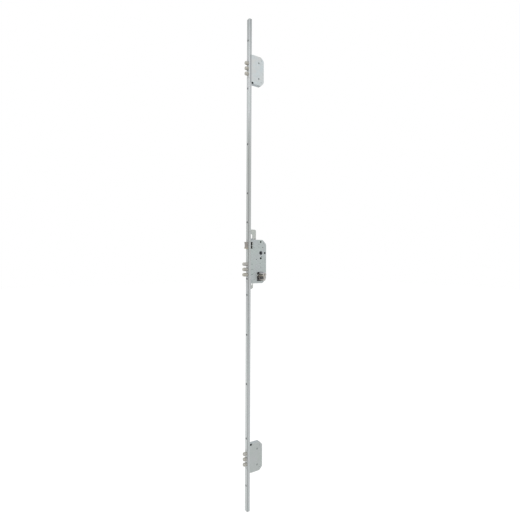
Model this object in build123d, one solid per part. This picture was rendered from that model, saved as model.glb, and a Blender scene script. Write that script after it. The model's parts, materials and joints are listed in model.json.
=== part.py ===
from build123d import *
import math
import os

# Multipoint door lock. Millimetres, +Z up.
# Origin: axis of the follower, in the middle of the lock's thickness.
# Bolts point to -X, the case lies to +X, the near side plate faces -Y.

# clearances and stock
GAP = 0.3
RUN = 0.06
SIDE_GAP = 0.4
PIN_PLAY = 0.25
PLATE = 1.2
STRIP = 2.0
LINK_T = 1.7

# forend channel
BACKSET = 60.0
FACE_W = 18.0
FACE_DEPTH = 12.0
FACE_WALL = 1.5
FACE_TOP = 918.0
FACE_BOTTOM = -1015.0
FACE_CORNER = 3.0
SCREW_HEIGHTS = [834.0, 646.0, 427.0, 234.0, 120.0, -165.5, -322.5, -516.0, -730.0, -915.0]
SCREW_R = 2.5
SINK_R = 4.2
SINK_DEPTH = 1.0
SCREW_SHANK_R = 1.9
SCREW_HEAD_RIM = 1.6
SCREW_END = -52.5
X_FACE = -BACKSET
X_WEB = X_FACE + FACE_WALL
X_SEAT = X_FACE + FACE_DEPTH

# main case
CASE_T = 17.0
CASE_REAR = 26.0
CASE_TOP = 52.5
CASE_BOTTOM = -120.5
CHAMFER = 17.0
RELIEF_R = 1.5
EAR_X = -37.0
EAR_RISE = 4.0
Y_OUT = CASE_T / 2
Y_IN = Y_OUT - PLATE

# layers through the thickness, all on the near side of the middle
Y_LINK_0 = -Y_IN + GAP
Y_LINK_1 = Y_LINK_0 + LINK_T
Y_STRIP_0 = Y_LINK_1 + SIDE_GAP
Y_STRIP_1 = Y_STRIP_0 + STRIP
ROD_T = 2.5
ROD_W = 5.3
ROD_X0 = X_WEB + 1.5
ROD_X1 = ROD_X0 + ROD_W

# bolts
BOLT_R = Y_IN - GAP
BOLT_PITCH = 20.7
BOLT_HOLE_R = BOLT_R + GAP
BOLT_REAR = -52.0
MAIN_Z = -65.2
MAIN_TRAVEL = 20.0
BOX_TRAVEL = 14.0
TIP_INSET = 0.4
MAIN_TIP = X_FACE - MAIN_TRAVEL + TIP_INSET
BOX_TIP = X_FACE - BOX_TRAVEL + TIP_INSET
TONGUE_H = 10.0
TONGUE_END = -42.5
TONGUE_Y1 = 3.5
RIVET_X = -47.0
RIVET_R = 2.0
RIVET_HEAD_R = 3.4
RIVET_HEAD_T = 0.8

# gear train
MODULE = 1.25
PRESSURE = 20.0
WHEEL_TEETH = 33
KEY_TEETH = 12
RACK_TEETH = 14
THINNING = 0.16
STUB = 0.75
CYL_Z = -85.0
WHEEL_T = 3.0
WHEEL_Z = CYL_Z + MODULE * (WHEEL_TEETH + KEY_TEETH) / 2
AXLE_R = 3.0
PITCH_RACK = MODULE * RACK_TEETH / 2
RACK_Z = WHEEL_Z + PITCH_RACK
RACK_TOP = RACK_Z + 11.0
RACK_FRONT = -27.0
RACK_END = 3.9

# cylinder
CYL_R = 8.5
CYL_BLADE = 10.0
CYL_HEIGHT = 33.0
CYL_HALF = 35.0
CYL_SLOT = 5.0
PLUG_R = 6.6
CYL_SCREW_Z = -102.0
CYL_SCREW_R = 2.5
CYL_SCREW_END = 4.2
PLUG_STUB_R = 3.9
PLUG_STUB_GAP = 0.6
KEY_GEAR_HALF = 4.6

# follower and latch
SQUARE = 8.0
HUB_R = 10.5
LIP_R = 8.0
NOSE_R = 2.4
NECK_HALF = 1.7
ARM_R = 27.0
ARM_REST = -10.7
LATCH_TRAVEL = 15.0
LATCH_Z = 29.0
LATCH_H = 26.2
LATCH_HALF = 6.0
LATCH_PROUD = 1.0
LATCH_TIP = X_FACE - LATCH_TRAVEL - LATCH_PROUD
LATCH_REAR = -55.0
HORN = 1.0
HORN_DEPTH = 2.5
TAIL_Z0 = 25.6
TAIL_Z1 = 32.2
TAIL_HALF = 1.6
NOSE_X = ARM_R * math.sin(math.radians(ARM_REST))
NOSE_TOP = ARM_R + NOSE_R
LUG_X = NOSE_X + NOSE_R + 0.45
GUIDE_X = -21.0
GUIDE_TOP = 39.0
SHELF_Z = 20.8
SHELF_END = -11.9
SPRING_X = -14.6
SPRING_Z = 4.2
SPRING_R = 2.3
SPRING_WIRE = 0.35
LATCH_SPRING_R = 4.4
LATCH_WIRE = 0.4
SPRING_TURNS = 6

# links and rods
LINK_TRAVEL = 14.0
PIN_R = 2.5
SLOT_R = PIN_R + PIN_PLAY
STUD_R = 2.0
LEG_X0 = -39.9
LEG_X1 = -22.6
BAR_Z0 = 74.0
BAR_Z1 = 92.0
BAR_ROUND = 6.5
HOOK_ROUND = 5.0
LEG_HOLE = (-28.5, 55.0, 1.8)
UP_PIN_X = (LEG_X0 + LEG_X1) / 2
UP_PIN_Z = -14.0
LOW_X1 = -35.6
LOW_Z0 = -142.0
LOW_PIN_X = -32.0
LOW_PIN_Z = -114.0
LOW_STUD_X = -40.7
LOW_STUD_Z = -111.5
LOW_TOP = -109.6
ROD_RIVET_R = 1.3
UP_ROD_RIVETS = [BAR_Z0 + 5.0, BAR_Z1 - 5.0]
LOW_ROD_RIVETS = [LOW_Z0 + 2.6, LOW_Z0 + 9.0]

# auxiliary boxes
UP_BOX_Z = 723.4
LOW_BOX_Z = -809.7
BOX_HALF = 57.0
BOX_REAR = 10.5
BOX_CHAMFER = 13.0
BOX_DIP = 2.0
BOX_DIP_X = -40.0
BOX_RIVET_X = -14.0
BOX_RIVET_Z = 31.2
BOX_SCREW_Z = 35.2
DRIVE_X0 = -35.0
DRIVE_X1 = -7.0
DRIVE_PIN_X = -29.0
DRIVE_PINS = [-19.0, 5.0]
ARM_TOP = -29.0
ARM_BOTTOM = -38.0
DRIVE_RIVETS = [ARM_BOTTOM + 2.6, ARM_TOP - 2.6]
BOX_POST_X = -2.0
BOX_POST_IN = 13.5
BOX_POSTS = [(BOX_POST_X, s * (BOX_HALF - BOX_POST_IN)) for s in (1, -1)]
NOTCH_X = 9.0
NOTCH_Z = 6.5
STRIP_FRONT = -38.0
STRIP_REAR = -25.5
BOX_WINDOW = (-43.0, -34.0, 5.2)
GUIDE_HEIGHTS = [180.0, 340.0, 540.0, -240.0, -420.0, -620.0]

# features of the near side plate
ROSE_HOLES = [(19.2, 0.0), (0.0, -21.4)]
ROSE_R = 4.0
SMALL_HOLES = [(9.4, 22.2), (-19.4, -25.7), (4.7, -14.0)]
SMALL_R = 1.6
SIGHT_X = -0.5
SIGHT_Z = 44.0
SIGHT_R = 3.0
LATCH_VIEW_X = -37.0
LATCH_VIEW_Z = (16.5, 43.0)
LATCH_TAB = (-41.8, -36.0, 27.2, 31.0)
CYL_VIEW = (-17.7, 11.5, -111.5, -75.8)
CYL_TAB = (-18.5, -11.2, -90.4, -85.6)
GROOVE_X = (-45.0, -38.0)
GROOVE_R = 1.2
GROOVE_DEPTH = 0.4
CARRIAGE_WINDOW = (-44.5, -36.0, 7.0)
POST_R = 2.5
TENON_R = 1.6
TAIL_POSTS = [(-9.6, TAIL_Z1 + 0.4 + STUD_R), (-9.6, TAIL_Z0 - 0.4 - STUD_R)]
STUDS = [(-2.0, -41.6), (UP_PIN_X, 20.0), (LOW_STUD_X, LOW_STUD_Z)]
MAIN_SIZE = (CASE_REAR, CASE_BOTTOM, CASE_TOP, CHAMFER)
BOX_SIZE = (BOX_REAR, -BOX_HALF, BOX_HALF, BOX_CHAMFER)
CASE_POSTS = [(13.0, 40.0), (18.5, -98.0), (-46.0, 47.3), (0.0, -115.6), (21.0, -26.0)]

os.makedirs("parts", exist_ok=True)


def side_plane(y):
    """The plane of the side plates at a given y, with its own y along +Z."""
    return Plane(origin=(0, y, 0), x_dir=(1, 0, 0), z_dir=(0, -1, 0))


def slab(sketch, y_low, y_high):
    """Sheet or bar with an XZ outline, from one y to another."""
    return extrude(side_plane(y_high) * sketch, amount=y_high - y_low)


def block(x0, x1, y0, y1, z0, z1):
    """Rectangular bar between given limits."""
    place = Pos((x0 + x1) / 2, (y0 + y1) / 2, (z0 + z1) / 2)
    return place * Box(x1 - x0, y1 - y0, z1 - z0)


def outline(points):
    """Closed XZ outline through straight lines."""
    return make_face(Polyline(*points, close=True))


def disc(x, z, radius):
    """Round XZ outline."""
    return Pos(x, z) * Circle(radius)


def oblong(x0, z0, x1, z1, radius):
    """Slot outline between two centres."""
    length = math.hypot(x1 - x0, z1 - z0)
    turn = math.degrees(math.atan2(z1 - z0, x1 - x0))
    place = Pos((x0 + x1) / 2, (z0 + z1) / 2) * Rot(0, 0, turn)
    return place * SlotCenterToCenter(length, 2 * radius)


def window(x0, x1, z0, z1, radius):
    """Rectangular cut-out with round corners."""
    return Pos((x0 + x1) / 2, (z0 + z1) / 2) * RectangleRounded(x1 - x0, z1 - z0, radius)


def turned_x(points, y, z):
    """Turned piece along X from (x, radius) points."""
    face = make_face(Polyline(*points, close=True))
    return Pos(0, y, z) * revolve(face, axis=Axis.X)


def turned_y(points, x, z):
    """Turned piece along Y from (y, radius) points."""
    face = make_face(Polyline(*[(r, y) for y, r in points], close=True))
    return Pos(x, 0, z) * revolve(face, axis=Axis.Y)


def rod_y(x, z, radius, y0, y1):
    """Plain round pin along Y."""
    return slab(disc(x, z, radius), y0, y1)


def rod_x(x0, x1, y, z, radius):
    """Plain round bar along X."""
    return turned_x([(x0, 0), (x0, radius), (x1, radius), (x1, 0)], y, z)


def post(x, z, radius=POST_R):
    """Spacer between the side plates, its thinner ends set in both plates."""
    points = [
        (-Y_OUT, 0),
        (-Y_OUT, TENON_R),
        (-Y_IN, TENON_R),
        (-Y_IN, radius),
        (Y_IN, radius),
        (Y_IN, TENON_R),
        (Y_OUT, TENON_R),
        (Y_OUT, 0),
    ]
    return turned_y(points, x, z)


def involute(base, t):
    """Point of the involute of a base circle, starting on +X."""
    return (base * (math.cos(t) + t * math.sin(t)), base * (math.sin(t) - t * math.cos(t)))


def gear_outline(teeth, addendum, tooth_at):
    """Involute gear outline with one tooth centred at the angle tooth_at."""
    pitch = MODULE * teeth / 2
    base = pitch * math.cos(math.radians(PRESSURE))
    tip = pitch + addendum * MODULE
    root = pitch - 1.25 * MODULE
    half = (math.pi * MODULE / 2 - THINNING) / (2 * pitch)
    t_pitch = math.tan(math.radians(PRESSURE))
    lead = t_pitch - math.radians(PRESSURE)
    start = max(base, root)
    t0 = math.sqrt(max((start / base) ** 2 - 1, 0))
    t1 = math.sqrt((tip / base) ** 2 - 1)
    flank = []
    for i in range(3):
        x, y = involute(base, t0 + (t1 - t0) * i / 2)
        flank.append((math.hypot(x, y), math.atan2(y, x) - lead - half))
    step = 2 * math.pi / teeth
    foot = flank[0][1]
    if base > root:
        flank.insert(0, (root, foot))
    points = []
    for k in range(teeth):
        mid = math.radians(tooth_at) + k * step
        sides = [(r, mid + a) for r, a in flank] + [(r, mid - a) for r, a in reversed(flank)]
        points += [(r * math.cos(a), r * math.sin(a)) for r, a in sides]
    return outline(points)


def coil(radius, wire, turns, length):
    """Coil spring standing on Z=0, its round wire swept along a helix."""
    path = Helix(pitch=(length - 2 * wire) / turns, height=length - 2 * wire, radius=radius)
    section = Plane(origin=path @ 0, z_dir=path % 0) * RegularPolygon(wire, 5)
    return Pos(0, 0, wire) * sweep(section, path=path, is_frenet=True)


def save(name, *solids):
    """Write one node: one solid, or a group of separate ones."""
    shape = solids[0] if len(solids) == 1 else Compound(children=list(solids))
    shape.label = name
    export_step(shape, "parts/" + name + ".step")
    print(name, len(solids), [round(v, 2) for v in (*shape.bounding_box().min, *shape.bounding_box().max)])


# forend channel: U section, bolt holes, latch hole, screw holes
def forend():
    section = Pos(X_FACE + FACE_DEPTH / 2, 0) * Rectangle(FACE_DEPTH, FACE_W)
    front = section.vertices().group_by(Axis.X)[0]
    section = fillet(front, FACE_CORNER)
    hollow_w = FACE_W - 2 * FACE_WALL
    hollow = Pos(X_WEB + FACE_DEPTH / 2, 0) * Rectangle(FACE_DEPTH, hollow_w)
    hollow = fillet(hollow.vertices().group_by(Axis.X)[0], FACE_CORNER - FACE_WALL)
    shape = extrude(Plane.XY.offset(FACE_BOTTOM) * (section - hollow), amount=FACE_TOP - FACE_BOTTOM)
    cuts = []
    for centre in (MAIN_Z, UP_BOX_Z, LOW_BOX_Z):
        for k in (-1, 0, 1):
            cuts.append(rod_x(X_FACE - 1, X_WEB + 1, 0, centre + k * BOLT_PITCH, BOLT_HOLE_R))
    hole = Pos(0, LATCH_Z) * RectangleRounded(2 * (LATCH_HALF + GAP), LATCH_H + 2 * GAP, 1.0)
    face = Plane(origin=(X_FACE - 1, 0, 0), x_dir=(0, 1, 0), z_dir=(1, 0, 0))
    cuts.append(extrude(face * hole, amount=FACE_WALL + 2))
    sunk = [
        (X_FACE - 1, 0),
        (X_FACE - 1, SINK_R),
        (X_FACE, SINK_R),
        (X_FACE + SINK_DEPTH, SCREW_R),
        (X_WEB + 1, SCREW_R),
        (X_WEB + 1, 0),
    ]
    for z in SCREW_HEIGHTS:
        cuts.append(turned_x(sunk, 0, z))
    cuts.append(fixing_screw_hole(CYL_SCREW_Z, CYL_SCREW_R))
    for z in case_screw_heights():
        cuts.append(fixing_screw_hole(z, SCREW_SHANK_R))
    return shape - cuts


def fixing_screw_hole(z, shank):
    """Countersunk seat in the face for a screw of the lock's own."""
    points = [
        (X_FACE - 1, 0),
        (X_FACE - 1, shank + SCREW_HEAD_RIM),
        (X_FACE, shank + SCREW_HEAD_RIM),
        (X_WEB, shank + 0.1),
        (X_WEB + 1, shank + 0.1),
        (X_WEB + 1, 0),
    ]
    return turned_x(points, 0, z)


def case_screw_heights():
    """Heights of the six small screws that hold the three cases."""
    boxes = [c + s * BOX_SCREW_Z for c in (UP_BOX_Z, LOW_BOX_Z) for s in (-1, 1)]
    return boxes + [CASE_TOP - 4.6, CASE_BOTTOM + 6.0]


def face_screw(z, shank, end, bit):
    """Countersunk screw whose head lies flush in the face."""
    points = [
        (X_FACE, 0),
        (X_FACE, shank + SCREW_HEAD_RIM),
        (X_WEB, shank),
        (end - 1, shank),
        (end, shank * 0.6),
        (end, 0),
    ]
    screw = turned_x(points, 0, z)
    slot = block(X_FACE - 1, X_FACE + 0.9, -bit / 2, bit / 2, z - bit * 3, z + bit * 3)
    return screw - slot


# cases: tray with the near plate and a bent rim, and the far plate
def tray(size, holes):
    """Near plate and rim of a case, open at the front and on the far side."""
    corners = case_corners(*size, 0)
    outer_face = outline(corners)
    rim = outer_face - outline(case_corners(*size, PLATE))
    shape = slab(outer_face, -Y_OUT, -Y_IN) + slab(rim, -Y_IN, Y_IN)
    for hole in holes:
        shape -= slab(hole, -Y_OUT - 1, -Y_IN + 1)
    for x, z in corners[1:-1]:
        shape -= rod_y(x, z, RELIEF_R, -Y_OUT - 1, Y_IN)
    return shape


def case_corners(rear, z0, z1, chamfer_size, inset):
    """Outline of a case with its two rear corners cut at 45 degrees."""
    cut = chamfer_size - inset * (2 - math.sqrt(2))
    rear = rear - inset
    z0 = z0 + inset
    z1 = z1 - inset
    front = X_SEAT - (1 if inset else 0)
    return [
        (front, z1),
        (rear - cut, z1),
        (rear, z1 - cut),
        (rear, z0 + cut),
        (rear - cut, z0),
        (front, z0),
    ]


def lug(z_wall, z_end, y_low, y_high, side):
    """Tongue of a case: reaches into the channel and lies on its web."""
    inner = z_wall - side * PLATE
    low, high = sorted((z_wall, inner))
    foot = block(X_WEB + PLATE, X_SEAT, y_low, y_high, low, high)
    a, b = sorted((z_wall, z_end))
    strip = block(X_WEB, X_WEB + PLATE, max(y_low, -5.0), min(y_high, 5.0), a, b)
    return foot + strip


def main_case():
    holes = plate_holes() + [oblong(SIGHT_X, SIGHT_Z - 1, SIGHT_X, SIGHT_Z + 1, SIGHT_R)]
    holes += [disc(x, z, SMALL_R) for x, z in SMALL_HOLES]
    holes += [disc(x, z, TENON_R) for x, z in STUDS]
    latch_view = window(X_SEAT - 3, LATCH_VIEW_X, *LATCH_VIEW_Z, 2.0)
    holes += [latch_view - window(*LATCH_TAB, 0.8), window(*CYL_VIEW, 1.5) - window(*CYL_TAB, 0.8)]
    shape = tray(MAIN_SIZE, holes)
    for k in (-1, 0, 1):
        z = MAIN_Z + k * BOLT_PITCH
        groove = oblong(GROOVE_X[0], z, GROOVE_X[1], z, GROOVE_R)
        shape -= slab(groove, -Y_OUT - 1, -Y_OUT + GROOVE_DEPTH)
    ear = outline([
        (X_SEAT, CASE_TOP - 1),
        (EAR_X, CASE_TOP - 1),
        (EAR_X, CASE_TOP + EAR_RISE - 2),
        (EAR_X - 2, CASE_TOP + EAR_RISE),
        (X_SEAT, CASE_TOP + EAR_RISE),
    ])
    shape += slab(ear, -Y_OUT, -Y_IN)
    leg_slot = (LEG_X0 - GAP, LEG_X1 + GAP, CASE_TOP)
    low_slot = (X_SEAT - 1, LOW_X1 + GAP, CASE_BOTTOM)
    for x0, x1, z in (leg_slot, low_slot):
        shape -= block(x0, x1, -Y_IN, Y_LINK_1 + GAP, z - 2, z + 2)
    shape += lug(CASE_TOP, CASE_TOP - 9.3, -7.0, 7.0, 1)
    shape += lug(CASE_BOTTOM, CASE_BOTTOM + 11.0, Y_LINK_1 + ROD_T + SIDE_GAP, 7.0, -1)
    for z in case_screw_heights()[4:]:
        shape -= rod_x(X_WEB - 1, X_WEB + PLATE + 1, 0, z, SCREW_SHANK_R)
    return shape


def plate_holes():
    """Holes that both side plates of the main case share."""
    holes = [disc(0, 0, LIP_R + RUN), disc(0, WHEEL_Z, TENON_R)]
    holes += [disc(x, z, ROSE_R) for x, z in ROSE_HOLES]
    return holes + [disc(x, z, TENON_R) for x, z in CASE_POSTS + TAIL_POSTS]


def main_cover():
    shape = outline(case_corners(*MAIN_SIZE, 0))
    for hole in plate_holes() + [euro(CYL_R + GAP, CYL_BLADE / 2 + GAP, GAP)]:
        shape -= hole
    return slab(shape, Y_IN, Y_OUT)


def stud(x, z, y_end):
    """Guide stud riveted into the near plate."""
    points = [
        (-Y_OUT, 0),
        (-Y_OUT, TENON_R),
        (-Y_IN, TENON_R),
        (-Y_IN, STUD_R),
        (y_end, STUD_R),
        (y_end, 0),
    ]
    return turned_y(points, x, z)


def euro(radius, half, grow):
    """Euro profile outline: round head and blade with a round foot."""
    foot_z = CYL_Z + CYL_R - CYL_HEIGHT + half - grow
    blade = Pos(0, (CYL_Z + foot_z) / 2) * Rectangle(2 * half, CYL_Z - foot_z)
    return disc(0, CYL_Z, radius) + blade + disc(0, foot_z, half)


def cylinder_body():
    shape = slab(euro(CYL_R, CYL_BLADE / 2, 0), -CYL_HALF, CYL_HALF)
    slot = block(-20, 20, -CYL_SLOT, CYL_SLOT, CYL_Z - CYL_R - 0.7, CYL_Z + 20)
    shape -= slot
    shape -= rod_y(0, CYL_Z, PLUG_R + RUN, -CYL_HALF - 1, CYL_HALF + 1)
    shape -= rod_x(-20, CYL_SCREW_END, 0, CYL_SCREW_Z, CYL_SCREW_R)
    return shape


def key_slot(y0, y1):
    """Stepped keyway of a plug."""
    upper = Pos(0.3, CYL_Z + 1.2) * Rectangle(1.6, 4.4)
    lower = Pos(-0.5, CYL_Z - 3.0) * Rectangle(1.6, 4.6)
    return slab(upper + lower, y0, y1)


def plug(side):
    """Plug of one half, its stub reaching into the gear."""
    face = side * CYL_HALF
    shoulder = side * (CYL_SLOT + 0.2)
    stub = side * PLUG_STUB_GAP
    points = [
        (face, 0),
        (face, PLUG_R),
        (shoulder, PLUG_R),
        (shoulder, PLUG_STUB_R),
        (stub, PLUG_STUB_R),
        (stub, 0),
    ]
    shape = turned_y(points, 0, CYL_Z)
    end = side * 12.0
    return shape - key_slot(min(face * 1.1, end), max(face * 1.1, end))


def key_gear():
    teeth = gear_outline(KEY_TEETH, 1.0, 90.0)
    shape = slab(Pos(0, CYL_Z) * teeth, -KEY_GEAR_HALF, KEY_GEAR_HALF)
    shape -= rod_y(0, CYL_Z, PLUG_STUB_R, -CYL_SLOT, 0)
    return shape - rod_y(0, CYL_Z, PLUG_STUB_R + RUN, 0, CYL_SLOT)


def drive_wheel():
    wheel = gear_outline(WHEEL_TEETH, STUB, -90.0 + 180.0 / WHEEL_TEETH)
    for k in range(4):
        angle = math.radians(45 + 90 * k)
        wheel -= disc(14.5 * math.cos(angle), 14.5 * math.sin(angle), 2.6)
    shape = slab(Pos(0, WHEEL_Z) * wheel, -WHEEL_T / 2, WHEEL_T / 2)
    small = gear_outline(RACK_TEETH, 1.0, 90.0)
    shape += slab(Pos(0, WHEEL_Z) * small, Y_STRIP_0 - 0.2, -WHEEL_T / 2)
    shape += rod_y(0, WHEEL_Z, 5.0, -Y_IN + GAP, Y_STRIP_0 - 0.2)
    shape += rod_y(0, WHEEL_Z, 5.0, WHEEL_T / 2, Y_IN - GAP)
    return shape - rod_y(0, WHEEL_Z, AXLE_R + RUN, -10, 10)


def rack_outline(x0, x1):
    """Outline of the carriage's rear arm, its teeth facing down."""
    pitch = math.pi * MODULE
    add = STUB * MODULE
    root_z = WHEEL_Z + PITCH_RACK + MODULE + 0.35
    slope = math.tan(math.radians(PRESSURE))
    thick = pitch / 2 - THINNING
    tip_half = thick / 2 - add * slope
    root_half = thick / 2 + (root_z - RACK_Z) * slope
    points = [(-40.0, RACK_TOP), (-40.0, root_z)]
    first = math.ceil((x0 - pitch / 2) / pitch)
    centre = (first + 0.5) * pitch
    while centre + root_half < x1:
        points += [
            (centre - root_half, root_z),
            (centre - tip_half, RACK_Z - add),
            (centre + tip_half, RACK_Z - add),
            (centre + root_half, root_z),
        ]
        centre += pitch
    points += [(x1, root_z), (x1, RACK_TOP)]
    return outline(points)


def carriage():
    low_b = MAIN_Z - BOLT_PITCH - BOLT_R
    high_b = MAIN_Z + BOLT_PITCH + BOLT_R
    left = ROD_X0 + 0.3
    front = BOLT_REAR + 0.3
    bottom = CASE_BOTTOM + PLATE + 0.5
    body = outline([
        (left, UP_PIN_Z + 4.5),
        (UP_PIN_X + 2.7, UP_PIN_Z + 4.5),
        (UP_PIN_X + 4.7, UP_PIN_Z + 2.0),
        (UP_PIN_X + 4.7, RACK_TOP + 4.0),
        (-31.6, RACK_TOP),
        (-31.6, -93.0),
        (-26.6, -98.0),
        (-26.6, bottom),
        (left, bottom),
        (left, low_b - 0.5),
        (front, low_b - 0.5),
        (front, high_b + 0.5),
        (left, high_b + 0.5),
    ])
    body += rack_outline(RACK_FRONT, RACK_END)
    body -= oblong(UP_PIN_X, UP_PIN_Z, UP_PIN_X - MAIN_TRAVEL, UP_PIN_Z - LINK_TRAVEL, SLOT_R)
    body -= oblong(LOW_PIN_X, LOW_PIN_Z, LOW_PIN_X - MAIN_TRAVEL, LOW_PIN_Z + LINK_TRAVEL, SLOT_R)
    sx, sz = STUDS[0]
    body -= oblong(sx, sz, sx - MAIN_TRAVEL, sz, STUD_R + GAP)
    for k in (-1, 0, 1):
        body -= disc(RIVET_X, MAIN_Z + k * BOLT_PITCH, RIVET_R)
    x0, x1, half = CARRIAGE_WINDOW
    for z in (MAIN_Z - BOLT_PITCH / 2, MAIN_Z + BOLT_PITCH / 2):
        body -= window(x0, x1, z - half, z + half, 2.0)
    return slab(body, Y_STRIP_0, Y_STRIP_1)


def bolt(tip, z):
    """Round bolt with a domed tip and a flat tongue for its rivet."""
    profile = [
        (tip, 0),
        (tip, 3.2),
        (tip + 1.0, 5.6),
        (tip + 3.2, BOLT_R),
        (BOLT_REAR, BOLT_R),
        (BOLT_REAR, 0),
    ]
    half = TONGUE_H / 2
    shape = turned_x(profile, 0, z)
    shape += block(BOLT_REAR - 2, TONGUE_END, Y_STRIP_1, TONGUE_Y1, z - half, z + half)
    return shape - rod_y(RIVET_X, z, RIVET_R, -9, 9)


def tongue_rivet(z):
    """Rivet through a bolt's tongue and its strip, flat on the link side."""
    points = [
        (Y_STRIP_0, 0),
        (Y_STRIP_0, RIVET_R),
        (TONGUE_Y1, RIVET_R),
        (TONGUE_Y1, RIVET_HEAD_R),
        (TONGUE_Y1 + RIVET_HEAD_T, RIVET_HEAD_R),
        (TONGUE_Y1 + RIVET_HEAD_T, 0),
    ]
    return turned_y(points, RIVET_X, z)


# latch, follower and their springs
def latch_head():
    tip = LATCH_TIP
    half = LATCH_HALF
    back = LATCH_REAR
    edge = Curve() + [
        Line((back, -half), (tip + 0.4, -half)),
        ThreePointArc((tip + 0.4, -half), (tip, -half + 1.0), (tip + 0.5, -half + 2.2)),
        ThreePointArc((tip + 0.5, -half + 2.2), (tip + 8.6, -1.0), (X_FACE - 1.2, half)),
        Line((X_FACE - 1.2, half), (back, half)),
        Line((back, half), (back, -half)),
    ]
    z0 = LATCH_Z - LATCH_H / 2
    shape = extrude(Plane.XY.offset(z0) * make_face(edge), amount=LATCH_H)
    chord = LATCH_H - 2 * HORN
    bow = chord ** 2 / (8 * HORN_DEPTH) + HORN_DEPTH / 2
    shape -= slab(disc(tip + HORN_DEPTH - bow, LATCH_Z, bow), -half - 1, half + 1)
    shape -= block(back - 6, back + 1, -TAIL_HALF, TAIL_HALF, TAIL_Z0, TAIL_Z1)
    return shape - rod_y(back - 3, (TAIL_Z0 + TAIL_Z1) / 2, 1.5, -half - 1, half + 1)


def latch_tail():
    under = NOSE_TOP + 0.4
    shape = outline([
        (LATCH_REAR - 6, TAIL_Z0),
        (-16.0, TAIL_Z0),
        (-13.0, under),
        (LUG_X, under),
        (LUG_X, 23.4),
        (LUG_X + 4.0, 23.4),
        (LUG_X + 5.6, 25.0),
        (LUG_X + 5.6, TAIL_Z1),
        (LATCH_REAR - 6, TAIL_Z1),
    ])
    shape -= disc(LATCH_REAR - 3, (TAIL_Z0 + TAIL_Z1) / 2, 1.5)
    return slab(shape, -TAIL_HALF, TAIL_HALF)


def latch_guide():
    """Bent sheet between the side plates: tail window and spring shelf."""
    wall = block(GUIDE_X, GUIDE_X + PLATE, -Y_IN, Y_IN, SHELF_Z, GUIDE_TOP)
    wall -= block(
        GUIDE_X - 1, GUIDE_X + 3, -TAIL_HALF - GAP, TAIL_HALF + GAP, TAIL_Z0 - GAP, TAIL_Z1 + GAP
    )
    shelf = block(GUIDE_X, SHELF_END, -Y_IN, Y_IN, SHELF_Z, SHELF_Z + PLATE)
    return wall + shelf


def follower():
    hub = slab(disc(0, 0, HUB_R), -Y_IN + GAP, Y_IN - GAP)
    hub += slab(disc(0, 0, LIP_R), -Y_OUT, Y_OUT)
    turn = math.radians(ARM_REST)
    nose_x = ARM_R * math.sin(turn)
    nose_z = ARM_R * math.cos(turn)
    place = Rot(0, 0, -ARM_REST)
    neck = ARM_R - NOSE_R - 0.6
    arm = place * outline([
        (-4.4, 6.0),
        (4.4, 6.0),
        (NECK_HALF, neck),
        (NECK_HALF, ARM_R),
        (-NECK_HALF, ARM_R),
        (-NECK_HALF, neck),
    ])
    arm += disc(nose_x, nose_z, NOSE_R)
    back = outline([(-6.0, -4.4), (-6.0, 3.9), (-17.2, 3.9), (-18.4, 2.4), (-17.6, -0.8)])
    shape = hub + slab(arm + back, -TAIL_HALF - 0.4, TAIL_HALF + 0.4)
    return shape - slab(Rectangle(SQUARE, SQUARE), -10, 10)


# links, rods and drive plates
def upper_link():
    shape = outline([
        (LEG_X0, UP_PIN_Z - 4.6),
        (LEG_X1, UP_PIN_Z - 4.6),
        (LEG_X1, BAR_Z1),
        (ROD_X0, BAR_Z1),
        (ROD_X0, BAR_Z0),
        (LEG_X0, BAR_Z0),
    ])
    outer = shape.vertices().group_by(Axis.X)[-1]
    shape = fillet(outer, BAR_ROUND)
    inner = shape.vertices().filter_by(lambda v: abs(v.X - LEG_X0) < 0.01 and abs(v.Y - BAR_Z0) < 0.01)
    shape = fillet(inner, HOOK_ROUND)
    shape -= disc(UP_PIN_X, UP_PIN_Z, PIN_R)
    shape -= disc(*LEG_HOLE)
    sx, sz = STUDS[1]
    shape -= oblong(sx, sz, sx, sz + LINK_TRAVEL, STUD_R + GAP)
    for z in UP_ROD_RIVETS:
        shape -= disc(ROD_X0 + ROD_W / 2, z, ROD_RIVET_R)
    return slab(shape, Y_LINK_0, Y_LINK_1)


def lower_link():
    shape = outline([
        (ROD_X0, LOW_Z0),
        (LOW_X1 - 5.0, LOW_Z0),
        (LOW_X1, LOW_Z0 + 5.0),
        (LOW_X1, LOW_PIN_Z - 4.5),
        (LOW_PIN_X + 4.6, LOW_PIN_Z - 4.5),
        (LOW_PIN_X + 4.6, LOW_TOP),
        (X_SEAT + 1.0, LOW_TOP),
        (X_SEAT + 1.0, LOW_Z0 + 12.0),
        (ROD_X0, LOW_Z0 + 12.0),
    ])
    shape -= disc(LOW_PIN_X, LOW_PIN_Z, PIN_R)
    sx, sz = STUDS[2]
    shape -= oblong(sx, sz + 6, sx, sz - LINK_TRAVEL, STUD_R + GAP)
    for z in LOW_ROD_RIVETS:
        shape -= disc(ROD_X0 + ROD_W / 2, z, ROD_RIVET_R)
    return slab(shape, Y_LINK_0, Y_LINK_1)


def link_pin(x, z):
    """Drive pin: set in the link, ending level with the carriage it runs in."""
    return rod_y(x, z, PIN_R, Y_LINK_0, Y_STRIP_1)


def rod_between(z0, z1, rivets):
    """Flat rod in the channel, lying against the far face of its plates."""
    shape = block(ROD_X0, ROD_X1, Y_LINK_1, Y_LINK_1 + ROD_T, z0, z1)
    for z in rivets:
        shape -= rod_y(ROD_X0 + ROD_W / 2, z, ROD_RIVET_R, -9, 9)
    return shape


def rod_rivets(heights):
    """Flush rivets that join a rod to its plates."""
    x = ROD_X0 + ROD_W / 2
    return [rod_y(x, z, ROD_RIVET_R, Y_LINK_0, Y_LINK_1 + ROD_T) for z in heights]


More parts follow.
